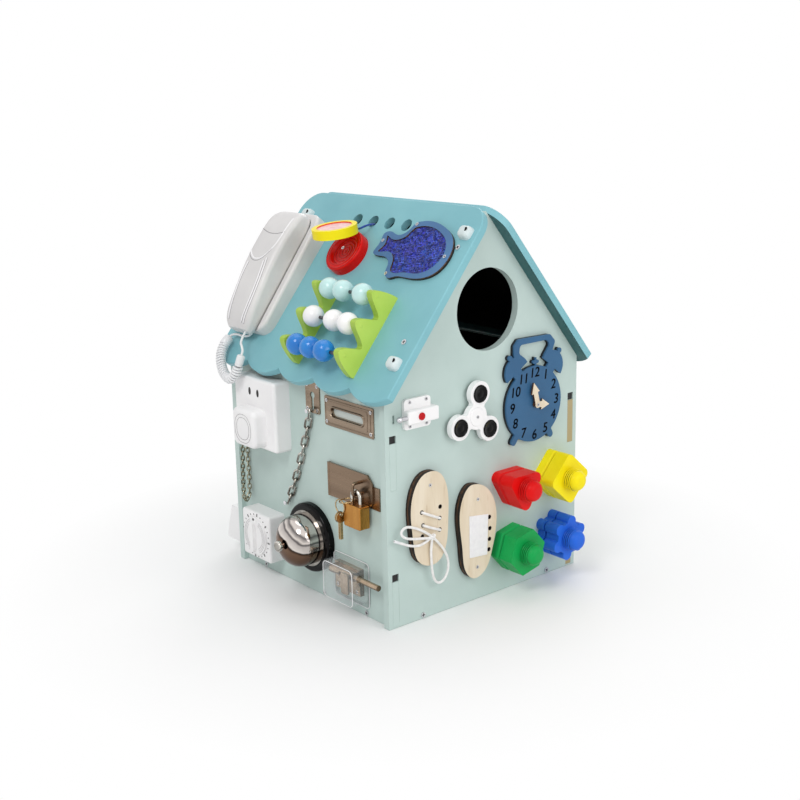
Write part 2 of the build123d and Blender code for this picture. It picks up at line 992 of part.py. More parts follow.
def bracket_profile():
    """Side of a bracket: three humps with a valley between two rods each."""
    points = [(bracket_start, 0.0)]
    for index, slope in enumerate(rod_slopes):
        points.append((slope - 9.0, bracket_hump - 9.0 if index else bracket_valley + 12))
        points.append((slope, bracket_hump))
        points.append((slope + 9.0, bracket_hump - 11.0))
        if index + 1 < len(rod_slopes):
            points.append(((slope + rod_slopes[index + 1]) / 2, bracket_valley))
    return points


with BuildPart() as abacus_brackets:
    for x in bracket_faces:
        with BuildSketch(roof_side(x + bracket_thickness)):
            with BuildLine():
                Spline(*bracket_profile(), (bracket_end, 0.0))
                Line((bracket_end, 0.0), (bracket_start, 0.0))
            make_face()
            with Locations(*[(slope, rod_height) for slope in rod_slopes]):
                Circle(rod_radius + hole_clearance, mode=Mode.SUBTRACT)
        extrude(amount=bracket_thickness)
finish(abacus_brackets, "abacus_brackets")

with BuildPart() as abacus_rods:
    for slope in rod_slopes:
        with BuildSketch(roof_side(abacus_right - 1.5)):
            with Locations((slope, rod_height)):
                Circle(rod_radius)
        extrude(amount=abacus_right - abacus_left - 3.0)
finish(abacus_rods, "abacus_rods")

inner_left = abacus_left + bracket_thickness
inner_right = abacus_right - bracket_thickness
bead_step = 2 * bead_radius + bead_gap
bead_groups = {
    "beads_mint_pair": (0, inner_left + 2.2 + bead_radius, 2),
    "bead_mint_single": (0, inner_right - 4.6 - bead_radius, 1),
    "bead_white_single": (1, inner_left + 1.8 + bead_radius, 1),
    "beads_white_pair": (1, inner_right - 2.4 - bead_radius - bead_step, 2),
    "beads_blue": (2, inner_left + 0.6 + bead_radius, 3),
}
for bead_name, (row, first_x, count) in bead_groups.items():
    with BuildPart() as beads:
        for index in range(count):
            with Locations(on(roof_side(first_x + index * bead_step), rod_slopes[row], rod_height)):
                Sphere(bead_radius)
                Hole(rod_radius + running_clearance)
    finish(beads, bead_name)

# ---------------------------------------------------------------------------
# Clock
# ---------------------------------------------------------------------------
with BuildSketch() as bell_shape:
    with BuildLine():
        CenterArc((0, 0), clock_bell_radius, 0, 180)
        Line((-clock_bell_radius, 0), (clock_bell_radius, 0))
    make_face()
    Rectangle(clock_stalk, clock_stalk)
    with Locations((0, clock_bell_radius + clock_knob - 1)):
        Circle(clock_knob)

with BuildSketch() as handle_shape:
    with BuildLine():
        Polyline(*clock_handle, close=True)
    make_face()
    fillet(handle_shape.vertices(), clock_handle_round)

with BuildSketch() as handle_inside:
    with BuildLine():
        Polyline(*clock_handle_inside, close=True)
    make_face()
    fillet(handle_inside.vertices(), clock_handle_round)

with BuildPart() as clock_face:
    with BuildSketch(gable()):
        for y, z, angle in clock_bells:
            with Locations(Location((y, z, 0), (0, 0, angle - 90))):
                add(bell_shape.sketch)
        add(handle_shape.sketch)
        add(handle_inside.sketch, mode=Mode.SUBTRACT)
        with Locations((clock_y, clock_z)):
            Circle(clock_radius)
        for y, z, angle in clock_feet:
            with Locations(Location((y, z, 0), (0, 0, angle))):
                SlotOverall(clock_foot_length, clock_foot_width)
        with Locations((clock_striker_y, clock_striker_z)):
            SlotOverall(clock_striker_width, clock_striker_height)
            Rectangle(clock_striker_height / 2, clock_striker_width)
    extrude(amount=clock_thickness)
    drill(clock_screws)
finish(clock_face, "clock_face")


def clock_hand(off, length, angle):
    """An arrow-shaped hand lying at one height over the gable, built in the current piece."""
    hand_plane = Plane(
        gable(off).from_local_coords((hand_pivot_y, hand_pivot_z, 0)),
        x_dir=(0, cos(radians(angle)), sin(radians(angle))),
        z_dir=(1, 0, 0),
    )
    with BuildSketch(hand_plane) as arrow:
        with BuildLine():
            Polyline(
                (0, -hand_width / 2),
                (length - hand_arrow, -hand_width / 2),
                (length - hand_arrow, -hand_arrow / 2),
                (length, 0),
                (length - hand_arrow, hand_arrow / 2),
                (length - hand_arrow, hand_width / 2),
                (0, hand_width / 2),
                close=True,
            )
        make_face()
        Circle(hand_width / 2 + 0.5)
        Circle(screw_radius + running_clearance, mode=Mode.SUBTRACT)
    extrude(arrow.sketch, amount=hand_thickness)


hour_off = clock_thickness + 0.1
minute_off = hour_off + hand_thickness + 0.1
with BuildPart() as clock_hour_hand:
    clock_hand(hour_off, hour_length, hour_angle)
finish(clock_hour_hand, "clock_hour_hand")

with BuildPart() as clock_minute_hand:
    clock_hand(minute_off, minute_length, minute_angle)
finish(clock_minute_hand, "clock_minute_hand")

# ---------------------------------------------------------------------------
# Spinner
# ---------------------------------------------------------------------------
spinner_plane = on(gable(), spinner_y, spinner_z)
with BuildPart() as spinner_frame:
    with BuildSketch(on(spinner_plane, 0, 0, spinner_back)):
        Circle(spinner_hub + 4.2)
        with PolarLocations(spinner_pitch, 3, spinner_first_angle):
            Circle(spinner_lobe)
        with PolarLocations(spinner_pitch / 2, 3, spinner_first_angle):
            Rectangle(spinner_pitch, 2 * spinner_waist)
        Circle(spinner_hub + running_clearance, mode=Mode.SUBTRACT)
        with PolarLocations(spinner_pitch, 3, spinner_first_angle):
            Circle(spinner_cap, mode=Mode.SUBTRACT)
    extrude(amount=spinner_top - spinner_back)
    rim = face_edges(spinner_frame, gable(), spinner_top).sort_by(SortBy.LENGTH)
    chamfer(rim[-1:], 0.6)
finish(spinner_frame, "spinner_frame")

with BuildPart() as spinner_caps:
    with BuildSketch(on(spinner_plane, 0, 0, spinner_back)):
        with PolarLocations(spinner_pitch, 3, spinner_first_angle):
            Circle(spinner_cap)
    extrude(amount=spinner_cap_top - spinner_back)
    fillet(face_edges(spinner_caps, gable(), spinner_cap_top), 0.8)
finish(spinner_caps, "spinner_caps")

with BuildPart() as spinner_hub_piece:
    with BuildSketch(spinner_plane):
        Circle(spinner_post)
    extrude(amount=spinner_back)
    with BuildSketch(on(spinner_plane, 0, 0, spinner_back)):
        Circle(spinner_hub)
    extrude(amount=spinner_cap_top - spinner_back)
    fillet(face_edges(spinner_hub_piece, gable(), spinner_cap_top), 0.8)
    drill(spinner_screws)
finish(spinner_hub_piece, "spinner_hub")

# ---------------------------------------------------------------------------
# Indicator lock
# ---------------------------------------------------------------------------
lock_bolt_z = lock_case_z + lock_case_height / 2
lock_bolt_off = lock_base_thickness + (lock_case_top - lock_base_thickness) / 2
with BuildPart() as indicator_lock_case:
    with BuildSketch(on(gable(), lock_y + lock_base_width / 2, lock_z + lock_base_height / 2)):
        RectangleRounded(lock_base_width, lock_base_height, 4.0)
    extrude(amount=lock_base_thickness)
    with BuildSketch(on(gable(), lock_y + lock_case_width / 2, lock_case_z + lock_case_height / 2)):
        RectangleRounded(lock_case_width, lock_case_height, 2.0)
    extrude(amount=lock_case_top)
    fillet(face_edges(indicator_lock_case, gable(), lock_case_top), 2.0)
    with BuildSketch(on(gable(lock_case_top), lock_dot_y, lock_bolt_z)):
        Circle(lock_dot_radius)
    extrude(amount=lock_dot_height)
    with BuildSketch(Plane(origin=(gable_x + lock_bolt_off, lock_y, lock_bolt_z), z_dir=(0, -1, 0))):
        Circle(lock_bolt_radius + running_clearance)
    extrude(amount=-lock_bolt_length - 8, mode=Mode.SUBTRACT)
    drill(lock_screws)
finish(indicator_lock_case, "indicator_lock_case")

with BuildPart() as indicator_lock_bolt:
    bolt_start = Plane(
        origin=(gable_x + lock_bolt_off, lock_y - lock_bolt_out, lock_bolt_z), z_dir=(0, 1, 0)
    )
    with BuildSketch(bolt_start):
        Circle(lock_bolt_radius)
    extrude(amount=lock_bolt_out + lock_bolt_length)
    with Locations(bolt_start):
        Sphere(lock_ball)
finish(indicator_lock_bolt, "indicator_lock_bolt")

# ---------------------------------------------------------------------------
# Toy bolts and nuts
# ---------------------------------------------------------------------------


def nut_outline(colour):
    """Outline of one toy nut and its bolt head, drawn as a sketch round the origin."""
    with BuildSketch() as outline:
        if colour == "red":
            RegularPolygon(34.0, 3, rotation=-90)
            fillet(outline.vertices(), 8.0)
        elif colour == "yellow":
            RegularPolygon(33.0, 4, rotation=3)
            fillet(outline.vertices(), 7.0)
        elif colour == "green":
            RegularPolygon(28.5, 6, rotation=12)
            fillet(outline.vertices(), 3.0)
        else:
            Circle(20.0)
            with PolarLocations(20.5, 6, 20.0):
                Circle(7.0)
    return outline.sketch


with BuildPart() as toy_bolts:
    for colour, (y, z) in toy_places.items():
        with BuildSketch(on(gable(), y, z)):
            add(nut_outline(colour))
        extrude(amount=toy_head)
        with BuildSketch(on(gable(), y, z)):
            Circle(toy_shank)
        extrude(amount=toy_length)
    fillet(face_edges(toy_bolts, gable(), toy_length), toy_tip)
    chamfer(face_edges(toy_bolts, gable(), toy_head).filter_by(
        lambda edge: edge.geom_type == GeomType.LINE), toy_edge)
finish(toy_bolts, "toy_bolts")

for colour, (y, z) in toy_places.items():
    with BuildPart() as nut:
        with BuildSketch(on(gable(toy_nut_start), y, z)):
            add(nut_outline(colour))
            Circle(toy_shank + toy_bore_clearance, mode=Mode.SUBTRACT)
        extrude(amount=toy_nut)
    finish(nut, f"toy_nut_{colour}")

# ---------------------------------------------------------------------------
# Shoes
# ---------------------------------------------------------------------------
with BuildPart() as shoe_soles:
    for outline_points in (laced_sole, strapped_sole):
        with BuildSketch(gable()):
            with BuildLine():
                Spline(*outline_points, periodic=True)
            make_face()
        extrude(amount=sole_thickness)
    with BuildSketch(gable()):
        with Locations(*lace_holes, *strap_holes):
            Circle(lace_hole)
    extrude(amount=sole_thickness, mode=Mode.SUBTRACT)
    drill(sole_screws)
finish(shoe_soles, "shoe_soles")

with BuildPart() as shoe_strap:
    with BuildSketch(gable(sole_thickness)):
        with BuildLine():
            Polyline(*strap_points, close=True)
        make_face()
        with Locations(*strap_holes):
            Circle(lace_hole, mode=Mode.SUBTRACT)
    extrude(amount=strap_thickness)
finish(shoe_strap, "shoe_strap")


def lace(places):
    """A strand of lace over the gable, through points given as (y, z, off)."""
    tube([tuple(gable().from_local_coords(place)) for place in places], lace_radius)


lace_top = sole_thickness + lace_radius
with BuildPart() as shoe_lace:
    for first, second in ((lace_holes[3], lace_holes[1]), (lace_holes[4], lace_holes[2])):
        lace([
            (first[0], first[1], sole_thickness - 5.0),
            (first[0], first[1], lace_top + 1.4),
            (second[0], second[1], lace_top + 1.4),
            (second[0], second[1], sole_thickness - 5.0),
        ])
    lace(loop_left)
    lace(free_end)
    lace(loop_hanging)
    with Locations(on(gable(), knot_y, knot_z, sole_thickness + knot_radius + 0.1)):
        Sphere(knot_radius)
finish(shoe_lace, "shoe_lace")

# ---------------------------------------------------------------------------
# Socket and plug
# ---------------------------------------------------------------------------
with BuildPart() as socket_box:
    with BuildSketch(on(front(), socket_x + socket_side / 2, socket_z + socket_side / 2)):
        RectangleRounded(socket_side, socket_side, socket_round)
    extrude(amount=socket_depth)
    fillet(face_edges(socket_box, front(), socket_depth), socket_round)
    with BuildSketch(front(socket_depth)):
        with Locations(*slit_places):
            Rectangle(slit_width, slit_height)
        for side in (-0.5, 0.5):
            with Locations((plug_x + side * plug_pin_spacing, plug_pin_z)):
                Rectangle(plug_pin_width + 2 * open_clearance, plug_pin_height + 2 * open_clearance)
    extrude(amount=-slit_depth, mode=Mode.SUBTRACT)
finish(socket_box, "socket_box")

with BuildPart() as mains_plug:
    with BuildSketch(on(front(socket_depth), plug_x, plug_z + plug_height / 2)):
        RectangleRounded(plug_width, plug_height, plug_round)
    extrude(amount=plug_depth)
    fillet(face_edges(mains_plug, front(), socket_depth + plug_depth), plug_edge)
    with BuildSketch(front(socket_depth)):
        for side in (-0.5, 0.5):
            with Locations((plug_x + side * plug_pin_spacing, plug_pin_z)):
                Rectangle(plug_pin_width, plug_pin_height)
    extrude(amount=-plug_pin_length)
finish(mains_plug, "mains_plug")

# ---------------------------------------------------------------------------
# Chains
# ---------------------------------------------------------------------------


def oblong_link(length, width, wire):
    """One closed oblong link lying in the XY plane, long along X."""
    reach = length / 2 - wire
    with BuildPart() as link:
        with BuildLine() as loop:
            bend = width / 2 - wire
            Line((bend - reach, -bend), (reach - bend, -bend))
            CenterArc((reach - bend, 0), bend, -90, 180)
            Line((reach - bend, bend), (bend - reach, bend))
            CenterArc((bend - reach, 0), bend, 90, 180)
        with BuildSketch(Plane(origin=loop.line @ 0, z_dir=loop.line % 0)):
            Circle(wire)
        sweep(path=loop.line)
    return link.part


def link_planes(points, length, wire):
    """Plane of each link along a route, each turned by a quarter against the one before."""
    step = length - 4 * wire - link_play
    with BuildLine() as route:
        FilletPolyline(*points, radius=bend_radii(points))
    path = route.wire()
    planes = []
    for index in range(int((path.length - length) / step) + 1):
        here = (length / 2 + index * step) / path.length
        along = path % here
        across = along.cross(Vector(0, -1, 0)).normalized()
        flat = Plane(path @ here, x_dir=along, z_dir=across)
        planes.append(tilted(flat, 45 if index % 2 else -45))
    return planes


def chain_ends(planes, length, width, wire):
    """X, Z and length of the pins that hold the outer ends of the first and the last link on the wall."""
    reach = length / 2 - 2 * wire - chain_pin - open_clearance
    middles = [planes[0].origin - planes[0].x_dir * reach, planes[-1].origin + planes[-1].x_dir * reach]
    return [(middle.X, middle.Z, width / 2 - middle.Y - wall_y) for middle in middles]


door_links = link_planes(door_chain_points, door_link_length, door_wire)
door_link = oblong_link(door_link_length, door_link_width, door_wire)
with BuildPart() as door_chain:
    with Locations(*door_links):
        add(door_link)
finish(door_chain, "door_chain")

tether_links = link_planes(tether_points, tether_link_length, tether_wire)
tether_link = oblong_link(tether_link_length, tether_link_width, tether_wire)
with BuildPart() as tether_chain:
    with Locations(*tether_links):
        add(tether_link)
finish(tether_chain, "tether_chain")

door_pins = chain_ends(door_links, door_link_length, door_link_width, door_wire)
tether_pins = chain_ends(tether_links, tether_link_length, tether_link_width, tether_wire)
with BuildPart() as door_chain_plate:
    with BuildSketch(on(front(), door_plate_x + door_plate_width / 2, door_plate_z + door_plate_height / 2)):
        RectangleRounded(door_plate_width, door_plate_height, 2.0)
    extrude(amount=plate_thickness)
    with BuildSketch(on(front(), *door_pins[0][:2])):
        with Locations((0, keyhole_rise)):
            Circle(keyhole_radius)
        with Locations((0, keyhole_rise / 2)):
            SlotCenterToCenter(keyhole_rise, keyhole_slot, rotation=90)
    extrude(amount=plate_thickness, mode=Mode.SUBTRACT)
    drill(door_plate_screws)
finish(door_chain_plate, "door_chain_plate")

# ---------------------------------------------------------------------------
# Flush pull
# ---------------------------------------------------------------------------
with BuildPart() as flush_pull:
    cup_middle = (pull_cup_x + pull_cup_width / 2, pull_cup_z + pull_cup_height / 2)
    with BuildSketch(on(front(), pull_x + pull_width / 2, pull_z + pull_height / 2)):
        RectangleRounded(pull_width, pull_height, 2.0)
    extrude(amount=pull_wall)
    with BuildSketch(on(front(), *cup_middle)):
        Rectangle(pull_cup_width, pull_cup_height)
    extrude(amount=-pull_cup_depth - pull_wall)
    with BuildSketch(on(front(pull_wall), *cup_middle)):
        Rectangle(pull_cup_width - 2 * pull_wall, pull_cup_height - 2 * pull_wall)
    extrude(amount=-pull_cup_depth - pull_wall, mode=Mode.SUBTRACT)
    drill(pull_screws)
finish(flush_pull, "flush_pull")

# ---------------------------------------------------------------------------
# Hasp and padlock
# ---------------------------------------------------------------------------
leaf_off = plate_thickness
leaf_top = leaf_off + hasp_leaf
with BuildPart() as hasp:
    with BuildSketch(front()):
        with Locations((hasp_x + hasp_height / 4, hasp_z + hasp_height / 2)):
            Rectangle(hasp_height / 2, hasp_base_height)
        with Locations(((staple_x + hasp_base_end) / 2 - 5, hasp_base_z + hasp_base_height / 2)):
            Rectangle(hasp_base_end - staple_x + 10, hasp_base_height)
    extrude(amount=plate_thickness)
    with BuildSketch(front(leaf_off)):
        with BuildLine():
            Polyline(
                (hasp_x, hasp_z),
                (hasp_x + hasp_length - hasp_chamfer, hasp_z),
                (hasp_x + hasp_length, hasp_z + hasp_chamfer),
                (hasp_x + hasp_length, hasp_z + hasp_height - hasp_chamfer),
                (hasp_x + hasp_length - hasp_chamfer, hasp_z + hasp_height),
                (hasp_x, hasp_z + hasp_height),
                close=True,
            )
        make_face()
    extrude(amount=hasp_leaf)
    with BuildSketch(Plane.XY.offset(hasp_z)):
        with Locations((hasp_x, -wall_y - hasp_knuckle)):
            Circle(hasp_knuckle)
    extrude(amount=hasp_height)
    with BuildLine() as staple_path:
        FilletPolyline(
            (staple_x, -wall_y - leaf_top, staple_z - staple_half),
            (staple_x, -wall_y - staple_top, staple_z - staple_half),
            (staple_x, -wall_y - staple_top, staple_z + staple_half),
            (staple_x, -wall_y - leaf_top, staple_z + staple_half),
            radius=3.0,
        )
    with BuildSketch(on(front(leaf_top), staple_x, staple_z - staple_half)):
        Circle(staple_radius)
    sweep(path=staple_path.line)
finish(hasp, "hasp")

padlock_top = padlock_z + padlock_height
padlock_off = padlock_back + padlock_depth / 2
arch_bottom = staple_z - staple_half + staple_radius + open_clearance
arch_z = arch_bottom + shackle_radius - shackle_half
with BuildPart() as padlock_body:
    with BuildSketch(on(front(padlock_back), staple_x, padlock_z + padlock_height / 2)):
        RectangleRounded(padlock_width, padlock_height, padlock_round)
    extrude(amount=padlock_depth)
    fillet(face_edges(padlock_body, front(), padlock_back), 1.0)
    fillet(face_edges(padlock_body, front(), padlock_back + padlock_depth), 1.0)
finish(padlock_body, "padlock_body")

with BuildPart() as padlock_shackle:
    with BuildSketch(Plane(origin=(staple_x - shackle_half, -wall_y - padlock_off, padlock_top))):
        Circle(shackle_radius)
    with BuildLine(on(front(padlock_off), staple_x, 0)) as arch:
        Line((-shackle_half, padlock_top), (-shackle_half, arch_z))
        ThreePointArc((-shackle_half, arch_z), (0, arch_z + shackle_half), (shackle_half, arch_z))
        Line((shackle_half, arch_z), (shackle_half, padlock_top))
    sweep(path=arch.line)
finish(padlock_shackle, "padlock_shackle")

leg = Vector(staple_x - shackle_half, -wall_y - padlock_off, link_ring_z)
ring_out = Vector(-cos(radians(link_ring_turn)), -sin(radians(link_ring_turn)), 0)
ring_down = (ring_out - Vector(0, 0, tan(radians(link_ring_drop)))).normalized()
ring_start = leg - ring_out * (shackle_radius + ring_wire + 0.2)
ring_far = ring_start + ring_down * 2 * link_ring_radius
link_ring_plane = Plane(
    ring_start + ring_down * link_ring_radius,
    x_dir=ring_down,
    z_dir=ring_down.cross(ring_out.cross(Vector(0, 0, 1))),
)
key_ring_z = ring_far.Z + 2 * ring_wire + 0.1 - key_ring_radius
key_hole_z = key_ring_z - key_ring_radius - key_hole + ring_wire + 0.1
with BuildPart() as padlock_keys:
    with Locations(link_ring_plane):
        Torus(link_ring_radius, ring_wire)
    with Locations(Plane(origin=(ring_far.X, ring_far.Y, key_ring_z), z_dir=(0, -1, 0))):
        Torus(key_ring_radius, ring_wire)
    for index in (-0.5, 0.5):
        key_plane = Plane(
            origin=(ring_far.X + index * key_spacing - key_thickness / 2, ring_far.Y, key_hole_z),
            x_dir=(0, 1, 0),
            z_dir=(1, 0, 0),
        )
        with BuildSketch(key_plane):
            with Locations((0, -key_bow / 2)):
                Circle(key_bow)
            with Locations((0, -key_bow - key_blade_length / 2)):
                Rectangle(key_blade_width, key_blade_length)
            Circle(key_hole, mode=Mode.SUBTRACT)
        extrude(amount=key_thickness)
finish(padlock_keys, "padlock_keys")

# ---------------------------------------------------------------------------
# Bell
# ---------------------------------------------------------------------------
bell_plane = on(front(), bell_x, bell_z)
with BuildPart() as bell_base:
    with BuildSketch(bell_plane):
        Circle(bell_base_radius)
    extrude(amount=bell_base_thickness)
    fillet(face_edges(bell_base, front(), bell_base_thickness), bell_base_edge)
finish(bell_base, "bell_base")

with BuildPart() as bell_dome:
    with BuildSketch(Plane(origin=bell_plane.origin, x_dir=(1, 0, 0), z_dir=(0, 0, 1))) as half_section:
        with BuildLine():
            outer = Spline(
                (bell_radius, -bell_base_thickness - bell_shoulder),
                (bell_radius - 7.5, -bell_top + 7.0),
                (bell_plunger_radius + open_clearance, -bell_top),
                tangents=((0, -1), (-1, 0)),
            )
            inner = Spline(
                (bell_radius - bell_wall, -bell_base_thickness - bell_shoulder),
                (bell_radius - 7.5 - bell_wall, -bell_top + 7.0 + bell_wall / 2),
                (bell_plunger_radius + open_clearance, -bell_top + bell_wall),
                tangents=((0, -1), (-1, 0)),
            )
            Line(outer @ 1, inner @ 1)
            Polyline(
                outer @ 0,
                (bell_radius, -bell_base_thickness - bell_wall),
                (bell_flange, -bell_base_thickness - bell_wall),
                (bell_flange, -bell_base_thickness),
                (bell_radius - bell_wall, -bell_base_thickness),
                inner @ 0,
            )
        make_face()
    revolve(axis=Axis(bell_plane.origin, (0, 1, 0)))
finish(bell_dome, "bell_dome")

with BuildPart() as bell_plunger:
    with BuildSketch(on(bell_plane, 0, 0, bell_plunger_tail)):
        Circle(bell_plunger_radius)
    extrude(amount=bell_knob_top - bell_plunger_tail)
    with BuildSketch(on(bell_plane, 0, 0, bell_top + bell_travel + 1.0)):
        Circle(bell_knob)
    extrude(amount=bell_knob_top - bell_top - bell_travel - 1.0)
    fillet(face_edges(bell_plunger, front(), bell_knob_top), 1.8)
finish(bell_plunger, "bell_plunger")

# ---------------------------------------------------------------------------
# Barrel bolt and its clear cover
# ---------------------------------------------------------------------------
rod_hole_plane = Plane(origin=(0, -wall_y - bolt_axis_off, bolt_axis_z), z_dir=(1, 0, 0))
with BuildPart() as bolt_cover:
    cover_middle = on(front(), cover_x + cover_width / 2, cover_z + cover_height / 2)
    with BuildSketch(cover_middle):
        RectangleRounded(cover_width, cover_height, cover_round)
    extrude(amount=cover_depth)
    fillet(face_edges(bolt_cover, front(), cover_depth), 2 * cover_wall)
    with BuildSketch(cover_middle):
        RectangleRounded(
            cover_width + 2 * cover_flange, cover_height + 2 * cover_flange, cover_round + cover_flange
        )
    extrude(amount=cover_wall)
    with BuildSketch(cover_middle):
        RectangleRounded(
            cover_width - 2 * cover_wall, cover_height - 2 * cover_wall, cover_round - cover_wall
        )
    extrude(amount=cover_depth - cover_wall, mode=Mode.SUBTRACT)
    with BuildSketch(on(rod_hole_plane, 0, 0, cover_x + cover_width - 3)):
        Circle(bolt_rod_radius + 1.0)
    extrude(amount=6, mode=Mode.SUBTRACT)
finish(bolt_cover, "bolt_cover")

with BuildPart() as barrel_bolt_body:
    with BuildSketch(front()):
        with Locations((bolt_plate_x + bolt_plate_width / 2, bolt_plate_z + bolt_plate_height / 2)):
            Rectangle(bolt_plate_width, bolt_plate_height)
    extrude(amount=bolt_plate_thickness)
    with BuildSketch(on(rod_hole_plane, 0, 0, bolt_plate_x + 2)):
        Circle(bolt_barrel_radius)
    extrude(amount=bolt_plate_width - 4)
    with BuildSketch(front(bolt_plate_thickness)):
        with Locations((bolt_plate_x + bolt_plate_width / 2, bolt_axis_z)):
            Rectangle(bolt_plate_width - 4, 2 * bolt_barrel_radius - 1)
    extrude(amount=bolt_axis_off - bolt_plate_thickness)
    with BuildSketch(on(rod_hole_plane, 0, 0, bolt_plate_x)):
        Circle(bolt_rod_radius + running_clearance)
    extrude(amount=bolt_plate_width, mode=Mode.SUBTRACT)
    with BuildSketch(front(bolt_axis_off)):
        with Locations((bolt_handle_x - bolt_throw / 2, bolt_axis_z)):
            SlotCenterToCenter(bolt_throw, 2 * (bolt_peg + open_clearance))
    extrude(amount=bolt_barrel_radius + 1, mode=Mode.SUBTRACT)
    drill(bolt_screws)
finish(barrel_bolt_body, "barrel_bolt_body")

with BuildPart() as barrel_bolt_rod:
    rod_start = bolt_plate_x + bolt_throw + 4
    with BuildSketch(on(rod_hole_plane, 0, 0, rod_start)):
        Circle(bolt_rod_radius)
    extrude(amount=bolt_rod_end - rod_start)
    with BuildSketch(on(front(bolt_axis_off), bolt_handle_x, bolt_axis_z)):
        Circle(bolt_peg)
    extrude(amount=bolt_handle_off - bolt_axis_off)
    with BuildSketch(on(front(bolt_handle_off), bolt_handle_x, bolt_axis_z + 4 - bolt_handle_length / 2)):
        RectangleRounded(bolt_handle_width, bolt_handle_length, 2.5)
    extrude(amount=bolt_handle_thickness)
finish(barrel_bolt_rod, "barrel_bolt_rod")

# ---------------------------------------------------------------------------
# Timer
# ---------------------------------------------------------------------------
with BuildPart() as timer_box:
    with BuildSketch(on(front(), timer_x + timer_width / 2, timer_z + timer_height / 2)):
        RectangleRounded(timer_width, timer_height, timer_round)
    extrude(amount=timer_depth)
    fillet(face_edges(timer_box, front(), timer_depth), timer_round - 1)
    with BuildSketch(on(front(timer_depth), timer_dial_x, timer_dial_z)):
        Circle(timer_stem + running_clearance)
    extrude(amount=-timer_stem_length - 1, mode=Mode.SUBTRACT)
finish(timer_box, "timer_box")

with BuildPart() as timer_dial:
    dial_plane = on(front(timer_depth), timer_dial_x, timer_dial_z)
    with BuildSketch(dial_plane):
        Circle(timer_stem)
    extrude(amount=-timer_stem_length)
    with BuildSketch(dial_plane):
        Circle(timer_dial_radius)
    extrude(amount=timer_dial_height)
    with BuildSketch(on(dial_plane, 0, 0, timer_dial_height)):
        SlotOverall(timer_grip_length, timer_grip_width, rotation=90)
    extrude(amount=timer_grip_height)
finish(timer_dial, "timer_dial")

# ---------------------------------------------------------------------------
# Side housing
# ---------------------------------------------------------------------------
with BuildPart() as side_housing:
    with BuildSketch(Plane.XZ.offset(-side_y - side_width)):
        with BuildLine():
            Polyline(
                (-gable_x, side_z),
                (-gable_x, side_z + side_height),
                (-gable_x - side_reach_top, side_z + side_height),
                (-gable_x - side_reach_low, side_z),
                close=True,
            )
        make_face()
    extrude(amount=side_width)
    outer_edges = side_housing.edges().filter_by(
        lambda edge: edge.center().X < -gable_x - 1 and edge.geom_type == GeomType.LINE
    )
    fillet(outer_edges.group_by(Axis.X)[0], side_round)
finish(side_housing, "side_housing")

# ---------------------------------------------------------------------------
# Screws: a low head on its seat and the shank under it
# ---------------------------------------------------------------------------
big_screws = gable_screws + front_screws + roof_caps
small_screws = (
    whale_screws + lock_screws + sole_screws + pull_screws + door_plate_screws
    + bolt_screws + clock_screws + spinner_screws + castanet_screws
)
with BuildPart() as screws:
    for seats, head, height in (
        (big_screws, screw_head, screw_head_height),
        (small_screws, small_head, small_head_height),
    ):
        for seat, grip in seats:
            with Locations(seat):
                Cylinder(head, height, align=(Align.CENTER, Align.CENTER, Align.MIN))
                Cylinder(
                    screw_radius,
                    grip + screw_bite - 0.5,
                    align=(Align.CENTER, Align.CENTER, Align.MAX),
                )
    for x, z, reach in (*door_pins, tether_pins[-1]):
        with BuildSketch(on(front(), x, z)):
            Circle(chain_pin)
        extrude(amount=reach)
        with BuildSketch(on(front(reach), x, z)):
            Circle(chain_pin_head)
        extrude(amount=small_head_height)
finish(screws, "screws")
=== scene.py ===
"""Looks of the gabled busy house: finishes, fine pieces, cords, light and camera around the CAD frame."""

import math
import random

import bmesh
import bpy
from mathutils import Matrix, Vector, noise
from mathutils.bvhtree import BVHTree


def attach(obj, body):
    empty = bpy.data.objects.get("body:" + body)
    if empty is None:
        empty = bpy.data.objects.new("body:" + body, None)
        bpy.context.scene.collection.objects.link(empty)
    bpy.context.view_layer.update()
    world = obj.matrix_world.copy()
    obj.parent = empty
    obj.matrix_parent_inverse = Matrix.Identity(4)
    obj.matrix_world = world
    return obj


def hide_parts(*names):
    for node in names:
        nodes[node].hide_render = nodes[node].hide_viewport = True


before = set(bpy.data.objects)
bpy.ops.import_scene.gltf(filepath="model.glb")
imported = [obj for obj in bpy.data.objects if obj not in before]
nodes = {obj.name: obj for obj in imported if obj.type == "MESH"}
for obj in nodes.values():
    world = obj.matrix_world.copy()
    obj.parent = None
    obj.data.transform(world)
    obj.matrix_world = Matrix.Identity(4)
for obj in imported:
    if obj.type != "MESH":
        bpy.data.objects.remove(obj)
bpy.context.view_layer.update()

scene = bpy.context.scene
X, Y = (1, 0, 0), (0, 1, 0)
random.seed(7)

# Places: the front roof panel, the gable with the window and the front wall
PITCH = math.radians(51.0)
RIDGE = Vector((0.0, -0.009 * math.sin(PITCH), 0.4525 + 0.009 * math.cos(PITCH)))
ROOF_OUT = Vector((0.0, -math.sin(PITCH), math.cos(PITCH)))
ROOF_BACK_OUT = Vector((0.0, math.sin(PITCH), math.cos(PITCH)))
DOWN_SLOPE = Vector((0.0, -math.cos(PITCH), -math.sin(PITCH)))
GABLE_X = 0.1515
WALL_Y = -0.144
GABLE_OUT = Vector((1.0, 0.0, 0.0))
WALL_OUT = Vector((0.0, -1.0, 0.0))


def on_roof(x, slope, off=0.0):
    """Point over the front roof panel, from millimetres."""
    return RIDGE + Vector((x / 1000, 0, 0)) + DOWN_SLOPE * (slope / 1000) + ROOF_OUT * (off / 1000)


def on_gable(y, z, off=0.0):
    """Point over the gable with the window, from millimetres."""
    return Vector((GABLE_X + off / 1000, y / 1000, z / 1000))


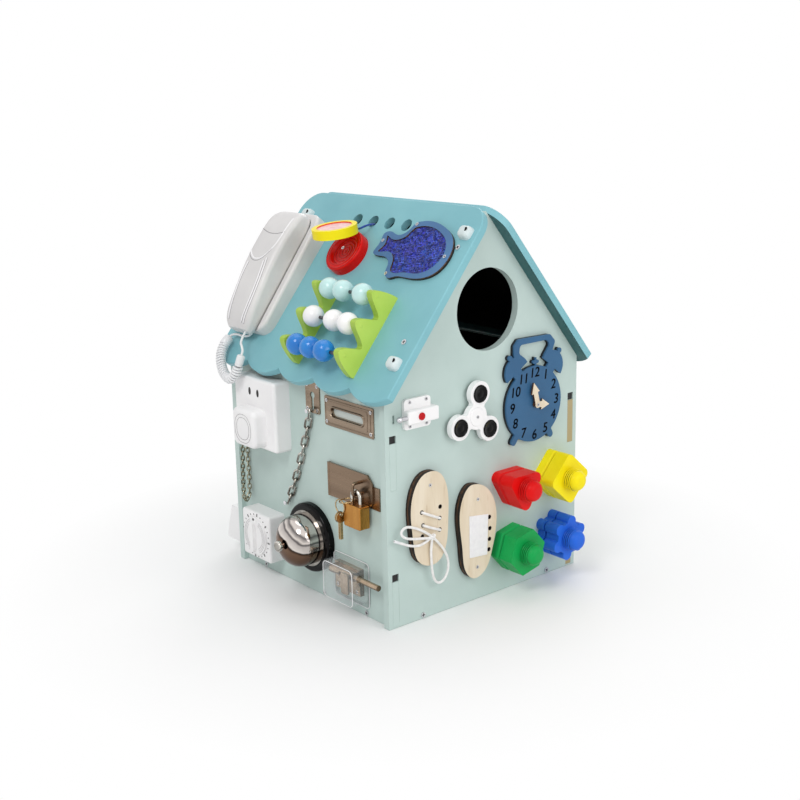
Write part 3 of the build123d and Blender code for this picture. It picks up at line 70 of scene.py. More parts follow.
def on_wall(x, z, off=0.0):
    """Point over the front wall, from millimetres."""
    return Vector((x / 1000, WALL_Y - off / 1000, z / 1000))


def placed(origin, normal, right=None):
    """Matrix of a local frame whose z is the normal and whose x is as near to right as it gets."""
    z = Vector(normal).normalized()
    x = Vector(right) if right else Vector((0, 0, 1)).cross(z)
    if x.length < 1e-6:
        x = Vector(X)
    x = (x - z * x.dot(z)).normalized()
    y = z.cross(x)
    return Matrix.Translation(origin) @ Matrix((x, y, z)).transposed().to_4x4()


# Materials


def rgb(red, green, blue):
    """Linear colour of a display colour given from 0 to 255."""
    def linear(value):
        value /= 255
        return value / 12.92 if value <= 0.04045 else ((value + 0.055) / 1.055) ** 2.4
    return (linear(red), linear(green), linear(blue), 1.0)


class Finish:
    """A node material that is built up from layers of colour, roughness and relief."""

    def __init__(self, name, rough=0.4, metallic=0.0, coat=0.0, shine=0.34, stretch=(1, 1, 1)):
        self.material = bpy.data.materials.new(name)
        self.material.use_nodes = True
        self.tree = self.material.node_tree
        self.shader = self.tree.nodes["Principled BSDF"]
        for key, value in (("Roughness", rough), ("Metallic", metallic), ("Specular IOR Level", shine),
                           ("Coat Weight", coat), ("Coat Roughness", 0.12)):
            self.shader.inputs[key].default_value = value
        place = self.node("ShaderNodeTexCoord")
        mapping = self.node("ShaderNodeMapping", (("Scale", stretch),))
        self.link(place.outputs["Object"], mapping.inputs["Vector"])
        self.place = place.outputs["Object"]
        self.normal = place.outputs["Normal"]
        self.stretched = mapping.outputs["Vector"]
        self.base = self.shader.inputs["Base Color"]
        self.relief = None

    def node(self, kind, values=(), **settings):
        """A node with its settings, and values on its inputs."""
        made = self.tree.nodes.new(kind)
        for key, value in settings.items():
            setattr(made, key, value)
        for key, value in values:
            made.inputs[key].default_value = value
        return made

    def link(self, source, target):
        self.tree.links.new(source, target)

    def math(self, operation, first, second=0.0):
        """Output of a math node on sockets or numbers."""
        made = self.node("ShaderNodeMath", operation=operation)
        for socket, value in zip(made.inputs, (first, second)):
            if isinstance(value, (int, float)):
                socket.default_value = value
            else:
                self.link(value, socket)
        return made.outputs[0]

    def dot(self, source, direction):
        made = self.node("ShaderNodeVectorMath", ((1, direction),), operation="DOT_PRODUCT")
        self.link(source, made.inputs[0])
        return made.outputs["Value"]

    def along(self, source, direction):
        """How much a vector reaches along a direction, either way."""
        return self.math("ABSOLUTE", self.dot(source, direction))

    def noise(self, scale, detail=4.0):
        made = self.node("ShaderNodeTexNoise", (("Scale", scale), ("Detail", detail)))
        self.link(self.stretched, made.inputs["Vector"])
        return made.outputs["Fac"]

    def ramp(self, source, low, high, start=0.0, end=1.0):
        """A socket's value spread from low..high to start..end."""
        made = self.node("ShaderNodeMapRange", (
            ("From Min", low), ("From Max", high), ("To Min", start), ("To Max", end)))
        self.link(source, made.inputs["Value"])
        return made.outputs["Result"]

    def mix(self, share, first, second):
        """Two colours, or colour sockets, mixed by a share."""
        made = self.node("ShaderNodeMix", data_type="RGBA")
        self.link(share, made.inputs["Factor"])
        for socket, value in ((made.inputs[6], first), (made.inputs[7], second)):
            if isinstance(value, tuple):
                socket.default_value = value
            else:
                self.link(value, socket)
        return made.outputs[2]

    def colour(self, first, second, scale=30.0, low=0.35, high=0.7, detail=5.0):
        """Base colour that drifts between two tones."""
        tone = self.mix(self.ramp(self.noise(scale, detail), low, high), first, second)
        self.link(tone, self.base)

    def paint(self, share, over):
        """Lay another colour over the base colour where share is 1."""
        self.link(self.mix(share, self.base.links[0].from_socket, over), self.base)

    def roughness(self, low, high, scale=60.0):
        self.link(self.ramp(self.noise(scale), 0.3, 0.7, low, high), self.shader.inputs["Roughness"])

    def bump(self, height, strength=0.3, distance=0.0003):
        made = self.node("ShaderNodeBump", (("Strength", strength), ("Distance", distance)))
        self.link(height, made.inputs["Height"])
        if self.relief:
            self.link(self.relief, made.inputs["Normal"])
        self.relief = made.outputs["Normal"]
        self.link(self.relief, self.shader.inputs["Normal"])

    def grain(self, scale=900.0, strength=0.25, distance=0.0002, detail=3.0):
        self.bump(self.noise(scale, detail), strength, distance)

    def banded(self, direction, *stops):
        """Paint reflections into the base colour by the way the surface faces: light and dark bands of a
        mirrored room.
        """
        facing = self.ramp(self.dot(self.normal, Vector(direction).normalized()), -1.0, 1.0)
        ragged = self.math("ADD", facing, self.ramp(self.noise(70.0, 2.0), 0.3, 0.7, -0.012, 0.012))
        made = self.node("ShaderNodeValToRGB")
        ramp = made.color_ramp
        for element, (at, tone) in zip(ramp.elements, (stops[0], stops[-1])):
            element.position, element.color = at, tone
        for at, tone in stops[1:-1]:
            ramp.elements.new(at).color = tone
        self.link(ragged, made.inputs["Fac"])
        both = self.node("ShaderNodeMix", (("Factor", 1.0),), data_type="RGBA", blend_type="MULTIPLY")
        self.link(self.base.links[0].from_socket, both.inputs[6])
        self.link(made.outputs["Color"], both.inputs[7])
        self.link(both.outputs[2], self.base)

    def sides(self, direction):
        """1 on the cut edges of a plate that lies square to direction, 0 on its faces."""
        return self.ramp(self.along(self.normal, direction), 0.7, 0.45)


def painted_wood(name, tone, tone_two, rough=(0.42, 0.55), coat=0.0, size=14.0, shine=0.34):
    """Satin or gloss paint on wood, with the fine orange-peel of a roller."""
    made = Finish(name, coat=coat, shine=shine)
    made.colour(tone, tone_two, size)
    made.roughness(*rough, 90.0)
    made.grain(700.0, 0.18, 0.0002)
    made.grain(60.0, 0.06, 0.0008)
    return made


def moulded(name, tone, tone_two, rough=(0.28, 0.4), coat=0.0, shine=0.34):
    """Moulded plastic with a fine spark-eroded grain and soft handling marks."""
    made = Finish(name, coat=coat, shine=shine)
    made.colour(tone, tone_two, 18.0)
    made.roughness(*rough, 120.0)
    made.grain(2200.0, 0.12, 0.0001)
    return made


def metal(name, tone, tone_two, rough, stretch=(1, 1, 1), brushed=0.15):
    """Metal with a drawn or polished surface and slight stains."""
    made = Finish(name, metallic=1.0, shine=0.5, stretch=stretch)
    made.colour(tone, tone_two, 55.0, 0.3, 0.75)
    made.roughness(*rough, 240.0)
    made.grain(1500.0, brushed, 0.0001)
    return made


def burnt_edges(made, direction, thickness, burnt=rgb(38, 26, 20), ply=rgb(128, 84, 50)):
    """Laser-cut edges of a thin plate: dark, with the lighter middle layer of its plywood."""
    level = made.math("MULTIPLY", made.dot(made.place, direction), 2 * math.pi / thickness)
    bands = made.ramp(made.math("SINE", level), 0.2, 0.95)
    speckle = made.math("MULTIPLY", bands, made.ramp(made.noise(400.0), 0.35, 0.6))
    made.paint(made.sides(direction), made.mix(speckle, burnt, ply))


ROOM_X, ROOM_Y, FADE = 0.1437, 0.1352, 0.0004
TAB_ROOT_X, TAB_END_X, TABS_FROM_Y = 0.148, 0.1505, 0.1
MINT = (rgb(194, 212, 207), rgb(184, 203, 198))
TEAL = (rgb(132, 189, 198), rgb(122, 179, 189))
# Painted shade: the tones on this line darken the inner faces of the boards, and the near black on the next
# line is the shade inside the closed house.
WALL_SHADE, ROOF_UNDERSIDE_SHADE = rgb(150, 165, 158), rgb(52, 100, 102)
ROOM_SHADE, TAN_PLY = rgb(16, 18, 18), rgb(176, 160, 120)


def within(made, axis, reach):
    """1 where the place along an axis is no farther than reach from the middle."""
    at = made.dot(made.place, axis)
    return made.math("MULTIPLY", made.ramp(at, -reach - FADE, -reach), made.ramp(at, reach + FADE, reach))


def house_paint(name, tones, outward, shade, rough=(0.42, 0.55)):
    """Paint of a house board, with painted shade on its inner face and darker painted shade where that face
    closes the room.
    """
    made = painted_wood(name, *tones, rough)
    # Painted shade on the inner face, and a darker painted shade where it closes the room.
    inner = made.ramp(made.dot(made.normal, outward), -0.35, -0.6)
    made.paint(inner, shade)
    room = made.math("MULTIPLY", within(made, X, ROOM_X), within(made, Y, ROOM_Y))
    made.paint(made.math("MULTIPLY", inner, room), ROOM_SHADE)
    return made


def tab_ends(made):
    """Bare wood on the ends of the tabs that reach through the gables."""
    ends = made.math("MULTIPLY", made.ramp(made.along(made.normal, X), 0.5, 0.8),
                     made.ramp(made.along(made.place, X), TAB_ROOT_X, TAB_END_X))
    far = made.math("GREATER_THAN", made.along(made.place, Y), TABS_FROM_Y)
    made.paint(made.math("MULTIPLY", ends, far), TAN_PLY)


# The third value of each board is the painted shade of its inner face.
board_paints = {name: house_paint(name + "_paint", *looks) for name, looks in {
    "wall_front": (MINT, (0, -1, 0), WALL_SHADE),
    "wall_back": (MINT, Y, WALL_SHADE),
    "gable_right": (MINT, X, MINT[1]),
    "gable_left": (MINT, (-1, 0, 0), MINT[1]),
    "roof_front": (TEAL, tuple(ROOF_OUT), ROOF_UNDERSIDE_SHADE, (0.36, 0.5)),
    "roof_back": (TEAL, tuple(ROOF_BACK_OUT), ROOF_UNDERSIDE_SHADE, (0.36, 0.5)),
}.items()}
board_paints["floor_panel"] = painted_wood("floor_paint", *MINT)
tab_ends(board_paints["wall_back"])

white_plastic = moulded("white_plastic", rgb(247, 246, 246), rgb(239, 238, 239))
phone_plastic = moulded("phone_plastic", rgb(222, 220, 219), rgb(210, 208, 208), (0.3, 0.42), 0.1)
block_plastic = moulded("block_plastic", rgb(214, 225, 226), rgb(200, 214, 215), (0.25, 0.36))
# Grey lines: the print of the timer's arcs, and painted shade in the plug's grooves and beside the handset's
# ridges.
grey_marks_and_shade = moulded("grey_marks_and_shade", rgb(172, 170, 171), rgb(158, 156, 158), (0.5, 0.6))
# Light lines: painted highlights on the cover's edges and the handset's ridges.
painted_highlight_line = moulded("painted_highlight_line", rgb(246, 245, 246), rgb(238, 237, 239), (0.3, 0.4))
pull_pan_paint = moulded("pull_pan_paint", rgb(222, 230, 226), rgb(206, 216, 212), (0.3, 0.4))
cord_plastic = moulded("cord_plastic", rgb(240, 240, 241), rgb(226, 227, 229), (0.3, 0.4), 0.2)
black_plastic = moulded("black_plastic", rgb(5, 5, 6), rgb(9, 9, 10), (0.09, 0.15), shine=0.13)
# Dark marks and shade: the print of the timer and the rims of the lace holes, and painted shade in screw
# recesses, socket holes and slots.
dark_marks_and_shade = moulded("dark_marks_and_shade", rgb(34, 32, 33), rgb(52, 50, 51), (0.5, 0.6))
grey_mark = moulded("grey_mark", rgb(150, 148, 150), rgb(126, 124, 128), (0.5, 0.6))
red_dot = moulded("red_dot", rgb(196, 12, 20), rgb(172, 8, 16), (0.2, 0.3), shine=0.2)

red_paint = painted_wood("red_paint", rgb(226, 20, 14), rgb(206, 12, 10), (0.24, 0.36), shine=0.16)
yellow_paint = painted_wood("yellow_paint", rgb(250, 234, 22), rgb(243, 218, 12), (0.28, 0.4), shine=0.16)
pink_paint = painted_wood("pink_paint", rgb(244, 208, 206), rgb(226, 178, 178), (0.4, 0.5), size=160.0)
orange_paint = painted_wood("orange_paint", rgb(240, 96, 50), rgb(226, 70, 34), (0.35, 0.45))
SHELL_GROOVE_STEP = 0.0042
away = red_paint.node("ShaderNodeVectorMath", ((1, on_roof(-20.5, 82.0, 8.0)),), operation="DISTANCE")
red_paint.link(red_paint.place, away.inputs[0])
ripple = red_paint.math(
    "SINE", red_paint.math("MULTIPLY", away.outputs["Value"], 2 * math.pi / SHELL_GROOVE_STEP))
red_paint.bump(ripple, 0.35, 0.0006)
red_paint.paint(red_paint.ramp(ripple, 0.4, 1.0, 0.0, 0.6), rgb(140, 6, 8))

lime_paint = painted_wood("lime_paint", rgb(200, 226, 104), rgb(182, 213, 82), (0.34, 0.46), 0.05)
lime_paint.paint(lime_paint.ramp(lime_paint.sides(X), 0.0, 1.0, 0.0, 0.45), rgb(128, 168, 40))
mint_bead = painted_wood("mint_bead", rgb(204, 236, 234), rgb(188, 226, 224), (0.12, 0.22), 0.35, 60.0)
white_bead = painted_wood("white_bead", rgb(250, 249, 248), rgb(243, 241, 241), (0.12, 0.22), 0.35, 60.0)
blue_bead = painted_wood("blue_bead", rgb(34, 134, 214), rgb(24, 116, 200), (0.1, 0.2), 0.35, 60.0)

WHALE_THICKNESS, BIRCH_THICKNESS, HAND_THICKNESS = 0.004, 0.009, 0.0024
whale_paint = painted_wood("whale_paint", rgb(78, 122, 168), rgb(66, 106, 150), (0.38, 0.5))
burnt_edges(whale_paint, tuple(ROOF_OUT), WHALE_THICKNESS)
clock_paint = painted_wood("clock_paint", rgb(52, 100, 140), rgb(45, 89, 127), (0.38, 0.5))
height = clock_paint.dot(clock_paint.place, X)
lower_half = clock_paint.ramp(height, GABLE_X + 0.004, GABLE_X + 0.0034)
clock_paint.paint(clock_paint.math("MULTIPLY", clock_paint.sides(X), lower_half), rgb(20, 24, 32))


def birch_wood(name, stretch):
    """Bare birch plywood with a fine straight grain and flecks."""
    made = Finish(name, stretch=stretch)
    made.colour(rgb(233, 220, 198), rgb(219, 202, 175), 70.0, 0.3, 0.7, 8.0)
    flecks = made.ramp(made.noise(420.0, 2.0), 0.62, 0.75, 0.0, 0.5)
    made.paint(flecks, rgb(197, 174, 142))
    made.roughness(0.5, 0.65)
    made.grain(500.0, 0.25, 0.0002)
    return made


birch = birch_wood("birch", (1.0, 1.0, 0.12))
burnt_edges(birch, X, BIRCH_THICKNESS, rgb(30, 20, 16), rgb(92, 58, 34))
hand_wood = birch_wood("hand_wood", (1.0, 1.0, 0.3))
burnt_edges(hand_wood, X, HAND_THICKNESS, rgb(56, 36, 24), rgb(120, 80, 50))

steel = metal("steel", rgb(226, 226, 228), rgb(196, 196, 200), (0.16, 0.28))
rod_steel = metal("rod_steel", rgb(112, 110, 110), rgb(84, 82, 84), (0.18, 0.3), (0.05, 1, 1))
# The brownish tones of nickel and hasp_nickel are a painted reflection of a brown room.
nickel = metal("nickel", rgb(158, 140, 122), rgb(128, 111, 95), (0.2, 0.34), (0.06, 1, 1), 0.3)
hasp_nickel = metal("hasp_nickel", rgb(146, 124, 104), rgb(116, 97, 80), (0.22, 0.36), (0.06, 1, 1), 0.3)
chain_steel = metal("chain_steel", rgb(222, 219, 212), rgb(164, 158, 148), (0.12, 0.24))
tether_steel = metal("tether_steel", rgb(176, 172, 150), rgb(130, 126, 104), (0.18, 0.3))
chrome = metal("chrome", rgb(226, 218, 212), rgb(212, 203, 196), (0.03, 0.07), (1, 1, 1), 0.02)
brass = metal("brass", rgb(196, 142, 72), rgb(164, 110, 50), (0.22, 0.34), (1, 1, 0.08), 0.3)
# Painted reflections: the metals below get light and dark bands by the way they face, white where lamps
# would show and brown or dark where a room would.
PAINTED_HIGHLIGHT = rgb(255, 255, 255)
chrome.banded((0.55, -0.2, 1.0), (0.0, rgb(66, 54, 46)), (0.34, rgb(112, 90, 76)), (0.60, rgb(132, 108, 92)),
              (0.645, rgb(44, 36, 32)), (0.665, PAINTED_HIGHLIGHT), (0.77, rgb(214, 214, 216)), (0.80, rgb(92, 92, 96)),
              (0.83, PAINTED_HIGHLIGHT), (0.89, rgb(120, 120, 124)), (0.92, PAINTED_HIGHLIGHT), (1.0, rgb(236, 236, 238)))
for links in (chain_steel, tether_steel):
    links.banded((0.4, -0.5, 0.8), (0.0, rgb(30, 27, 24)), (0.30, rgb(46, 42, 38)), (0.38, PAINTED_HIGHLIGHT),
                 (0.62, PAINTED_HIGHLIGHT), (0.70, rgb(62, 58, 54)), (0.78, PAINTED_HIGHLIGHT), (1.0, PAINTED_HIGHLIGHT))
bolt_nickel = metal("bolt_nickel", rgb(196, 176, 152), rgb(140, 120, 98), (0.12, 0.22))
bolt_nickel.banded((0.3, -0.6, 0.7), (0.0, rgb(40, 32, 26)), (0.44, rgb(80, 64, 52)), (0.54, PAINTED_HIGHLIGHT),
                   (0.7, rgb(120, 104, 88)), (0.8, PAINTED_HIGHLIGHT), (1.0, PAINTED_HIGHLIGHT))
nickel.banded((0.2, -0.5, 0.8), (0.0, rgb(96, 84, 74)), (0.45, rgb(170, 160, 150)), (0.66, PAINTED_HIGHLIGHT),
              (1.0, PAINTED_HIGHLIGHT))
key_metal = metal("key_metal", rgb(196, 172, 130), rgb(168, 140, 98), (0.2, 0.34))

TOY = {
    "red": ((31, 133), rgb(232, 20, 18), rgb(214, 10, 12), "red_paint"),
    "yellow": ((105, 129), rgb(251, 238, 28), rgb(246, 224, 16), "yellow_paint"),
    "green": ((34, 54), rgb(28, 174, 90), rgb(18, 158, 76), "green_paint"),
    "blue": ((105, 54), rgb(48, 114, 228), rgb(36, 98, 214), "blue_plastic"),
}
toy_plastics, toy_groove_shades = {}, {}
for name, (_, tone, two, _) in TOY.items():
    toy_plastics[name] = moulded("toy_" + name, tone, two, (0.3, 0.42), shine=0.16)
    # The groove tones are the toy colours darkened: painted shade at the roots of the threads.
    deep, deepest = (tuple(share * value for value in tone[:3]) + (1.0,) for share in (0.16, 0.128))
    toy_groove_shades[name] = moulded("toy_groove_shade_" + name, deep, deepest)

clear_plastic = Finish("clear_plastic", shine=0.7)
clear_plastic.colour(rgb(236, 240, 242), rgb(222, 228, 231), 40.0)
clear_plastic.shader.inputs["Alpha"].default_value = 0.11
clear_plastic.roughness(0.03, 0.09, 200.0)
clear_plastic.grain(260.0, 0.12, 0.0003)


def woven(name, tone, tone_two, threads, fuzz=0.0005):
    """Textile with crossing threads and a soft nap."""
    made = Finish(name, rough=0.85)
    made.colour(tone, tone_two, 220.0)
    made.shader.inputs["Sheen Weight"].default_value = 0.4
    made.grain(threads, 0.5, fuzz, 6.0)
    made.grain(threads / 6, 0.2, fuzz, 2.0)
    return made


lace_cotton = woven("lace_cotton", rgb(245, 244, 242), rgb(228, 226, 224), 2600.0)
elastic_cloth = woven("elastic_cloth", rgb(34, 80, 170), rgb(24, 60, 140), 3000.0)
felt = woven("felt", rgb(240, 239, 240), rgb(233, 232, 234), 2400.0, 0.0002)
sequin_cloth = woven("sequin_cloth", rgb(22, 30, 116), rgb(16, 22, 92), 1600.0)

sequin_foil = Finish("sequin_foil", metallic=0.35, coat=0.15, shine=0.5)
cells = sequin_foil.node("ShaderNodeTexVoronoi", (("Scale", 330.0),))
sequin_foil.link(sequin_foil.place, cells.inputs["Vector"])
split = sequin_foil.node("ShaderNodeSeparateColor")
sequin_foil.link(cells.outputs["Color"], split.inputs["Color"])
sequin_foil.colour(rgb(30, 42, 184), rgb(16, 74, 176), 26.0, 0.4, 0.6)
sequin_foil.paint(sequin_foil.ramp(split.outputs[0], 0.6, 0.9, 0.0, 0.8), rgb(54, 58, 202))
sequin_foil.paint(sequin_foil.ramp(split.outputs[1], 0.7, 0.95, 0.0, 0.8), rgb(22, 30, 118))
sequin_foil.roughness(0.15, 0.35, 500.0)

# CAD nodes and their finishes


def dress(names, *finishes, choose=None):
    """Give CAD nodes their finish; with several, choose(centre, normal) names the one of each face."""
    for name in names.split():
        mesh = nodes[name].data
        mesh.materials.clear()
        for made in finishes:
            mesh.materials.append(made.material)
        for face in mesh.polygons:
            face.material_index = choose(face.center, face.normal) if choose else 0


for name, made in board_paints.items():
    dress(name, made)
for names, finish in (
    ("roof_corner_blocks socket_box mains_plug timer_box timer_dial side_housing", white_plastic),
    ("spinner_frame spinner_hub", white_plastic),
    ("phone_base phone_handset", phone_plastic),
    ("castanet_lower", red_paint),
    ("abacus_brackets", lime_paint),
    ("beads_mint_pair bead_mint_single", mint_bead),
    ("bead_white_single beads_white_pair", white_bead),
    ("beads_blue", blue_bead),
    ("whale_frame", whale_paint),
    ("clock_face", clock_paint),
    ("clock_hour_hand clock_minute_hand", hand_wood),
    ("shoe_soles", birch),
    ("spinner_caps bell_base", black_plastic),
    ("tether_chain", tether_steel),
    ("indicator_lock_bolt screws", steel),
    ("door_chain bell_plunger padlock_shackle", chain_steel),
    ("door_chain_plate flush_pull", nickel),
    ("barrel_bolt_body barrel_bolt_rod", bolt_nickel),
    ("hasp", hasp_nickel),
    ("padlock_body", brass),
    ("padlock_keys", key_metal),
    ("bolt_cover", clear_plastic),
):
    dress(names, finish)
dress("abacus_rods", rod_steel, lime_paint, choose=lambda centre, normal: int(abs(normal.x) > 0.9))
for name in TOY:
    dress("toy_nut_" + name, toy_plastics[name])


def nearest_toy(centre, normal):
    """The place, in the order of TOY, of the bolt that a face belongs to."""
    places = [Vector(place) for place, *_ in TOY.values()]
    here = Vector((centre.y * 1000, centre.z * 1000))
    return min(range(len(places)), key=lambda i: (places[i] - here).length)


dress("toy_bolts", *toy_plastics.values(), choose=nearest_toy)

BELL_X, BELL_Z, DOME_RADIUS = 0.004, 0.070, 0.0312
SHELL_AXIS = Vector((0.0, -0.15643, 0.98769))
SHELL_MIDDLE = Vector((-0.0205, -0.08014, 0.42992))
RECESS_RADIUS, RECESS_DEPTH = 0.0211, 0.003
BUTTON_X, BUTTON_Y, BUTTON_HALF = GABLE_X + 0.01205, -0.1078, 0.0045


def bell_face(centre, normal):
    """The dome of the bell, and the rim around it."""
    return int(math.hypot(centre.x - BELL_X, centre.z - BELL_Z) > DOME_RADIUS)


def shell_face(centre, normal):
    """The shell of the upper castanet, its recessed disc, and the wall of the recess."""
    along = (centre - SHELL_MIDDLE).dot(SHELL_AXIS)
    away = (centre - SHELL_MIDDLE - SHELL_AXIS * along).length
    if along < -RECESS_DEPTH or away > RECESS_RADIUS:
        return 0
    return 1 if normal.dot(SHELL_AXIS) > 0.9 else 2


def lock_face(centre, normal):
    """The lock case, and the round red button on it."""
    return int(centre.x > BUTTON_X and abs(centre.y - BUTTON_Y) < BUTTON_HALF)


dress("bell_dome", chrome, chain_steel, choose=bell_face)
dress("castanet_upper", yellow_paint, pink_paint, orange_paint, choose=shell_face)
dress("indicator_lock_case", white_plastic, red_dot, choose=lock_face)


# Mesh building


def facing_wall(x, z, off=0.0):
    """Frame on the front wall, with its x along the wall."""
    return placed(on_wall(x, z, off), WALL_OUT, X)


def linked(name, data):
    """A new object in the scene."""
    made = bpy.data.objects.new(name, data)
    scene.collection.objects.link(made)
    return made


def circle(steps, closed=False):
    """Angles of one turn; a closed one comes back to its start."""
    return [2 * math.pi * i / steps for i in range(steps + closed)]


def piece(name, mesh, finish, body, smooth=40.0):
    """A finished bmesh as an object that rides on a body."""
    data = bpy.data.meshes.new(name)
    bmesh.ops.recalc_face_normals(mesh, faces=mesh.faces)
    mesh.to_mesh(data)
    mesh.free()
    data.materials.append(finish.material)
    made = linked(name, data)
    data.polygons.foreach_set("use_smooth", [True] * len(data.polygons))
    data.set_sharp_from_angle(angle=math.radians(smooth))
    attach(made, body)
    return made


def add_rings(mesh, rings, close=True):
    """Skin a row of vertex rings, with a cap on both ends."""
    made = [[mesh.verts.new(point) for point in ring] for ring in rings]
    count = len(made[0])
    for low, high in zip(made, made[1:]):
        for i in range(count):
            mesh.faces.new((low[i], low[(i + 1) % count], high[(i + 1) % count], high[i]))
    if close:
        mesh.faces.new(made[0][::-1])
        mesh.faces.new(made[-1])


def polar(radius, angle, height=0.0):
    """Point round the z axis."""
    return Vector((radius * math.cos(angle), radius * math.sin(angle), height))


def add_lathe(mesh, profile, local, segments=32):
    """Turn a profile of (radius, height) pairs about the frame's z."""
    turn = circle(segments)
    add_rings(mesh, [[local @ polar(radius, a, height) for a in turn] for radius, height in profile])


def framed(path):
    """Tangent and two crossing directions along a path, turned as little as possible."""
    out, side = [], None
    for i, point in enumerate(path):
        tangent = (path[min(i + 1, len(path) - 1)] - path[max(i - 1, 0)]).normalized()
        if side is None:
            side = tangent.orthogonal().normalized()
        side = (side - tangent * side.dot(tangent)).normalized()
        out.append((point, side, tangent.cross(side)))
    return out


def add_tube(mesh, path, radius, sides=8):
    """A round bar along a path."""
    add_rings(mesh, [[p + (u * math.cos(a) + v * math.sin(a)) * radius for a in circle(sides)]
                     for p, u, v in framed(path)])


def tubes(name, paths, radius, sides, finish, body, smooth=40.0):
    """A piece of round bars along paths."""
    mesh = bmesh.new()
    for path in paths:
        add_tube(mesh, path, radius, sides)
    return piece(name, mesh, finish, body, smooth)


def add_block(mesh, local, size, edge):
    """A block with chamfered upper edges, standing on the frame's origin."""
    x, y, z = size[0] / 2, size[1] / 2, size[2]
    add_rings(mesh, [
        [local @ Vector((a * (x - inset), b * (y - inset), height))
         for a, b in ((-1, -1), (1, -1), (1, 1), (-1, 1))]
        for inset, height in ((0, 0), (0, z - edge), (edge, z))])


def surface_of(name):
    """Search tree of a CAD node's faces."""
    mesh = nodes[name].data
    return BVHTree.FromPolygons([v.co for v in mesh.vertices], [tuple(p.vertices) for p in mesh.polygons])


# Cords


def nurbs_curve(name, points, radius):
    """A smooth curve with the points as its control points."""
    data = bpy.data.curves.new(name, "CURVE")
    data.dimensions = "3D"
    spline = data.splines.new("NURBS")
    spline.points.add(len(points) - 1)
    for target, point in zip(spline.points, points):
        target.co = (*point, 1.0)
    spline.order_u = 3
    spline.use_endpoint_u = True
    spline.resolution_u = 8
    data.resolution_u = 8
    data.bevel_depth = radius
    data.bevel_resolution = 4
    data.use_fill_caps = True
    return linked(name, data)


def line_of(points):
    """Points along the smooth curve of a route."""
    route = nurbs_curve("route", points, 0.0)
    mesh = bpy.data.meshes.new_from_object(route)
    line = [v.co.copy() for v in mesh.vertices]
    bpy.data.objects.remove(route)
    return line


def measure(line):
    return sum((b - a).length for a, b in zip(line, line[1:]))


def cord_piece(name, points, radius, finish, slot, **facts):
    made = nurbs_curve(name, points, radius)
    made.data.materials.append(finish.material)
    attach(made, "house")
    measure(line_of(points))
    return made


def metres(points):
    return [Vector(point) / 1000 for point in points]


# Telephone cord: lead, curly turns and lead in one wire, with a cap and a ferrule on the turns
BASE_LEAD = metres([
    (-112, -140.52, 301.23), (-112, -144.30, 296.57), (-123, -147.2, 294.4),
    (-136.5, -147, 295.6), (-146, -149.85, 293.82),
])
COIL = metres([
    (-146, -154.3, 289.8), (-146, -163.5, 281.5), (-138, -172.5, 269), (-127, -177, 255),
    (-111, -178, 246.5), (-98.5, -176.5, 255), (-95, -174, 267),
])
HANDSET_LEAD = metres([
    (-91.29, -171.35, 279.71), (-89.65, -170.18, 285.36), (-94, -168.8, 290.5),
    (-102.5, -164.6, 292.2), (-107, -157.71, 299.06), (-107, -153.94, 303.72),
])
WIRE = 0.0015
TURN_RADIUS = 0.0049
TURN_PITCH = 0.0034
STEPS = 14
OPENING_TURNS = 0.6


def curly(line):
    """Points of a helix around a line, opening from the line and closing onto it at both ends."""
    total, out, walked, index = measure(line), [], 0.0, 0
    frames = framed(line)
    steps = int(total / TURN_PITCH * STEPS)
    lengths = [(b - a).length for a, b in zip(line, line[1:])]
    for step in range(steps + 1):
        at = total * step / steps
        while index < len(lengths) - 1 and walked + lengths[index] < at:
            walked += lengths[index]
            index += 1
        share = min(1.0, (at - walked) / lengths[index])
        (p, u, v), (q, s, t) = frames[index], frames[index + 1]
        angle = 2 * math.pi * step / STEPS
        opening = min(1.0, step / (STEPS * OPENING_TURNS), (steps - step) / (STEPS * OPENING_TURNS))
        middle, one, two = p.lerp(q, share), u.lerp(s, share), v.lerp(t, share)
        out.append(middle + (one * math.cos(angle) + two * math.sin(angle)) * (TURN_RADIUS * opening))
    return out


wire_points = BASE_LEAD + curly(line_of(COIL)) + HANDSET_LEAD
ferrule_mesh = bmesh.new()
FERRULE = [(0.0034, -0.001), (0.0049, 0.0), (0.005, 0.0012), (0.0046, 0.0016), (0.0046, 0.0022),
           (0.005, 0.0026), (0.005, 0.0112), (0.0046, 0.0124), (0.0032, 0.0132), (0.002, 0.0134)]
add_lathe(ferrule_mesh, FERRULE, placed(COIL[-1], COIL[-1] - COIL[-2]))
phone_ferrule = piece("phone_ferrule", ferrule_mesh, cord_plastic, "house")
cap_mesh = bmesh.new()
CAP = [(0.0018, -0.0035), (0.004, -0.003), (0.0058, -0.001), (0.0062, 0.0015), (0.0062, 0.009),
       (0.0058, 0.01)]
add_lathe(cap_mesh, CAP, placed(COIL[0], COIL[1] - COIL[0]))
phone_cord_cap = piece("phone_cord_cap", cap_mesh, cord_plastic, "house")
phone_cord = cord_piece(
    "phone_cord", wire_points, WIRE, cord_plastic, "cord_plastic", far_end="object", stiffness="medium",
    lay="coiled", with_pieces=[phone_ferrule, phone_cord_cap])
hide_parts("phone_cord_coil", "phone_cord_leads")

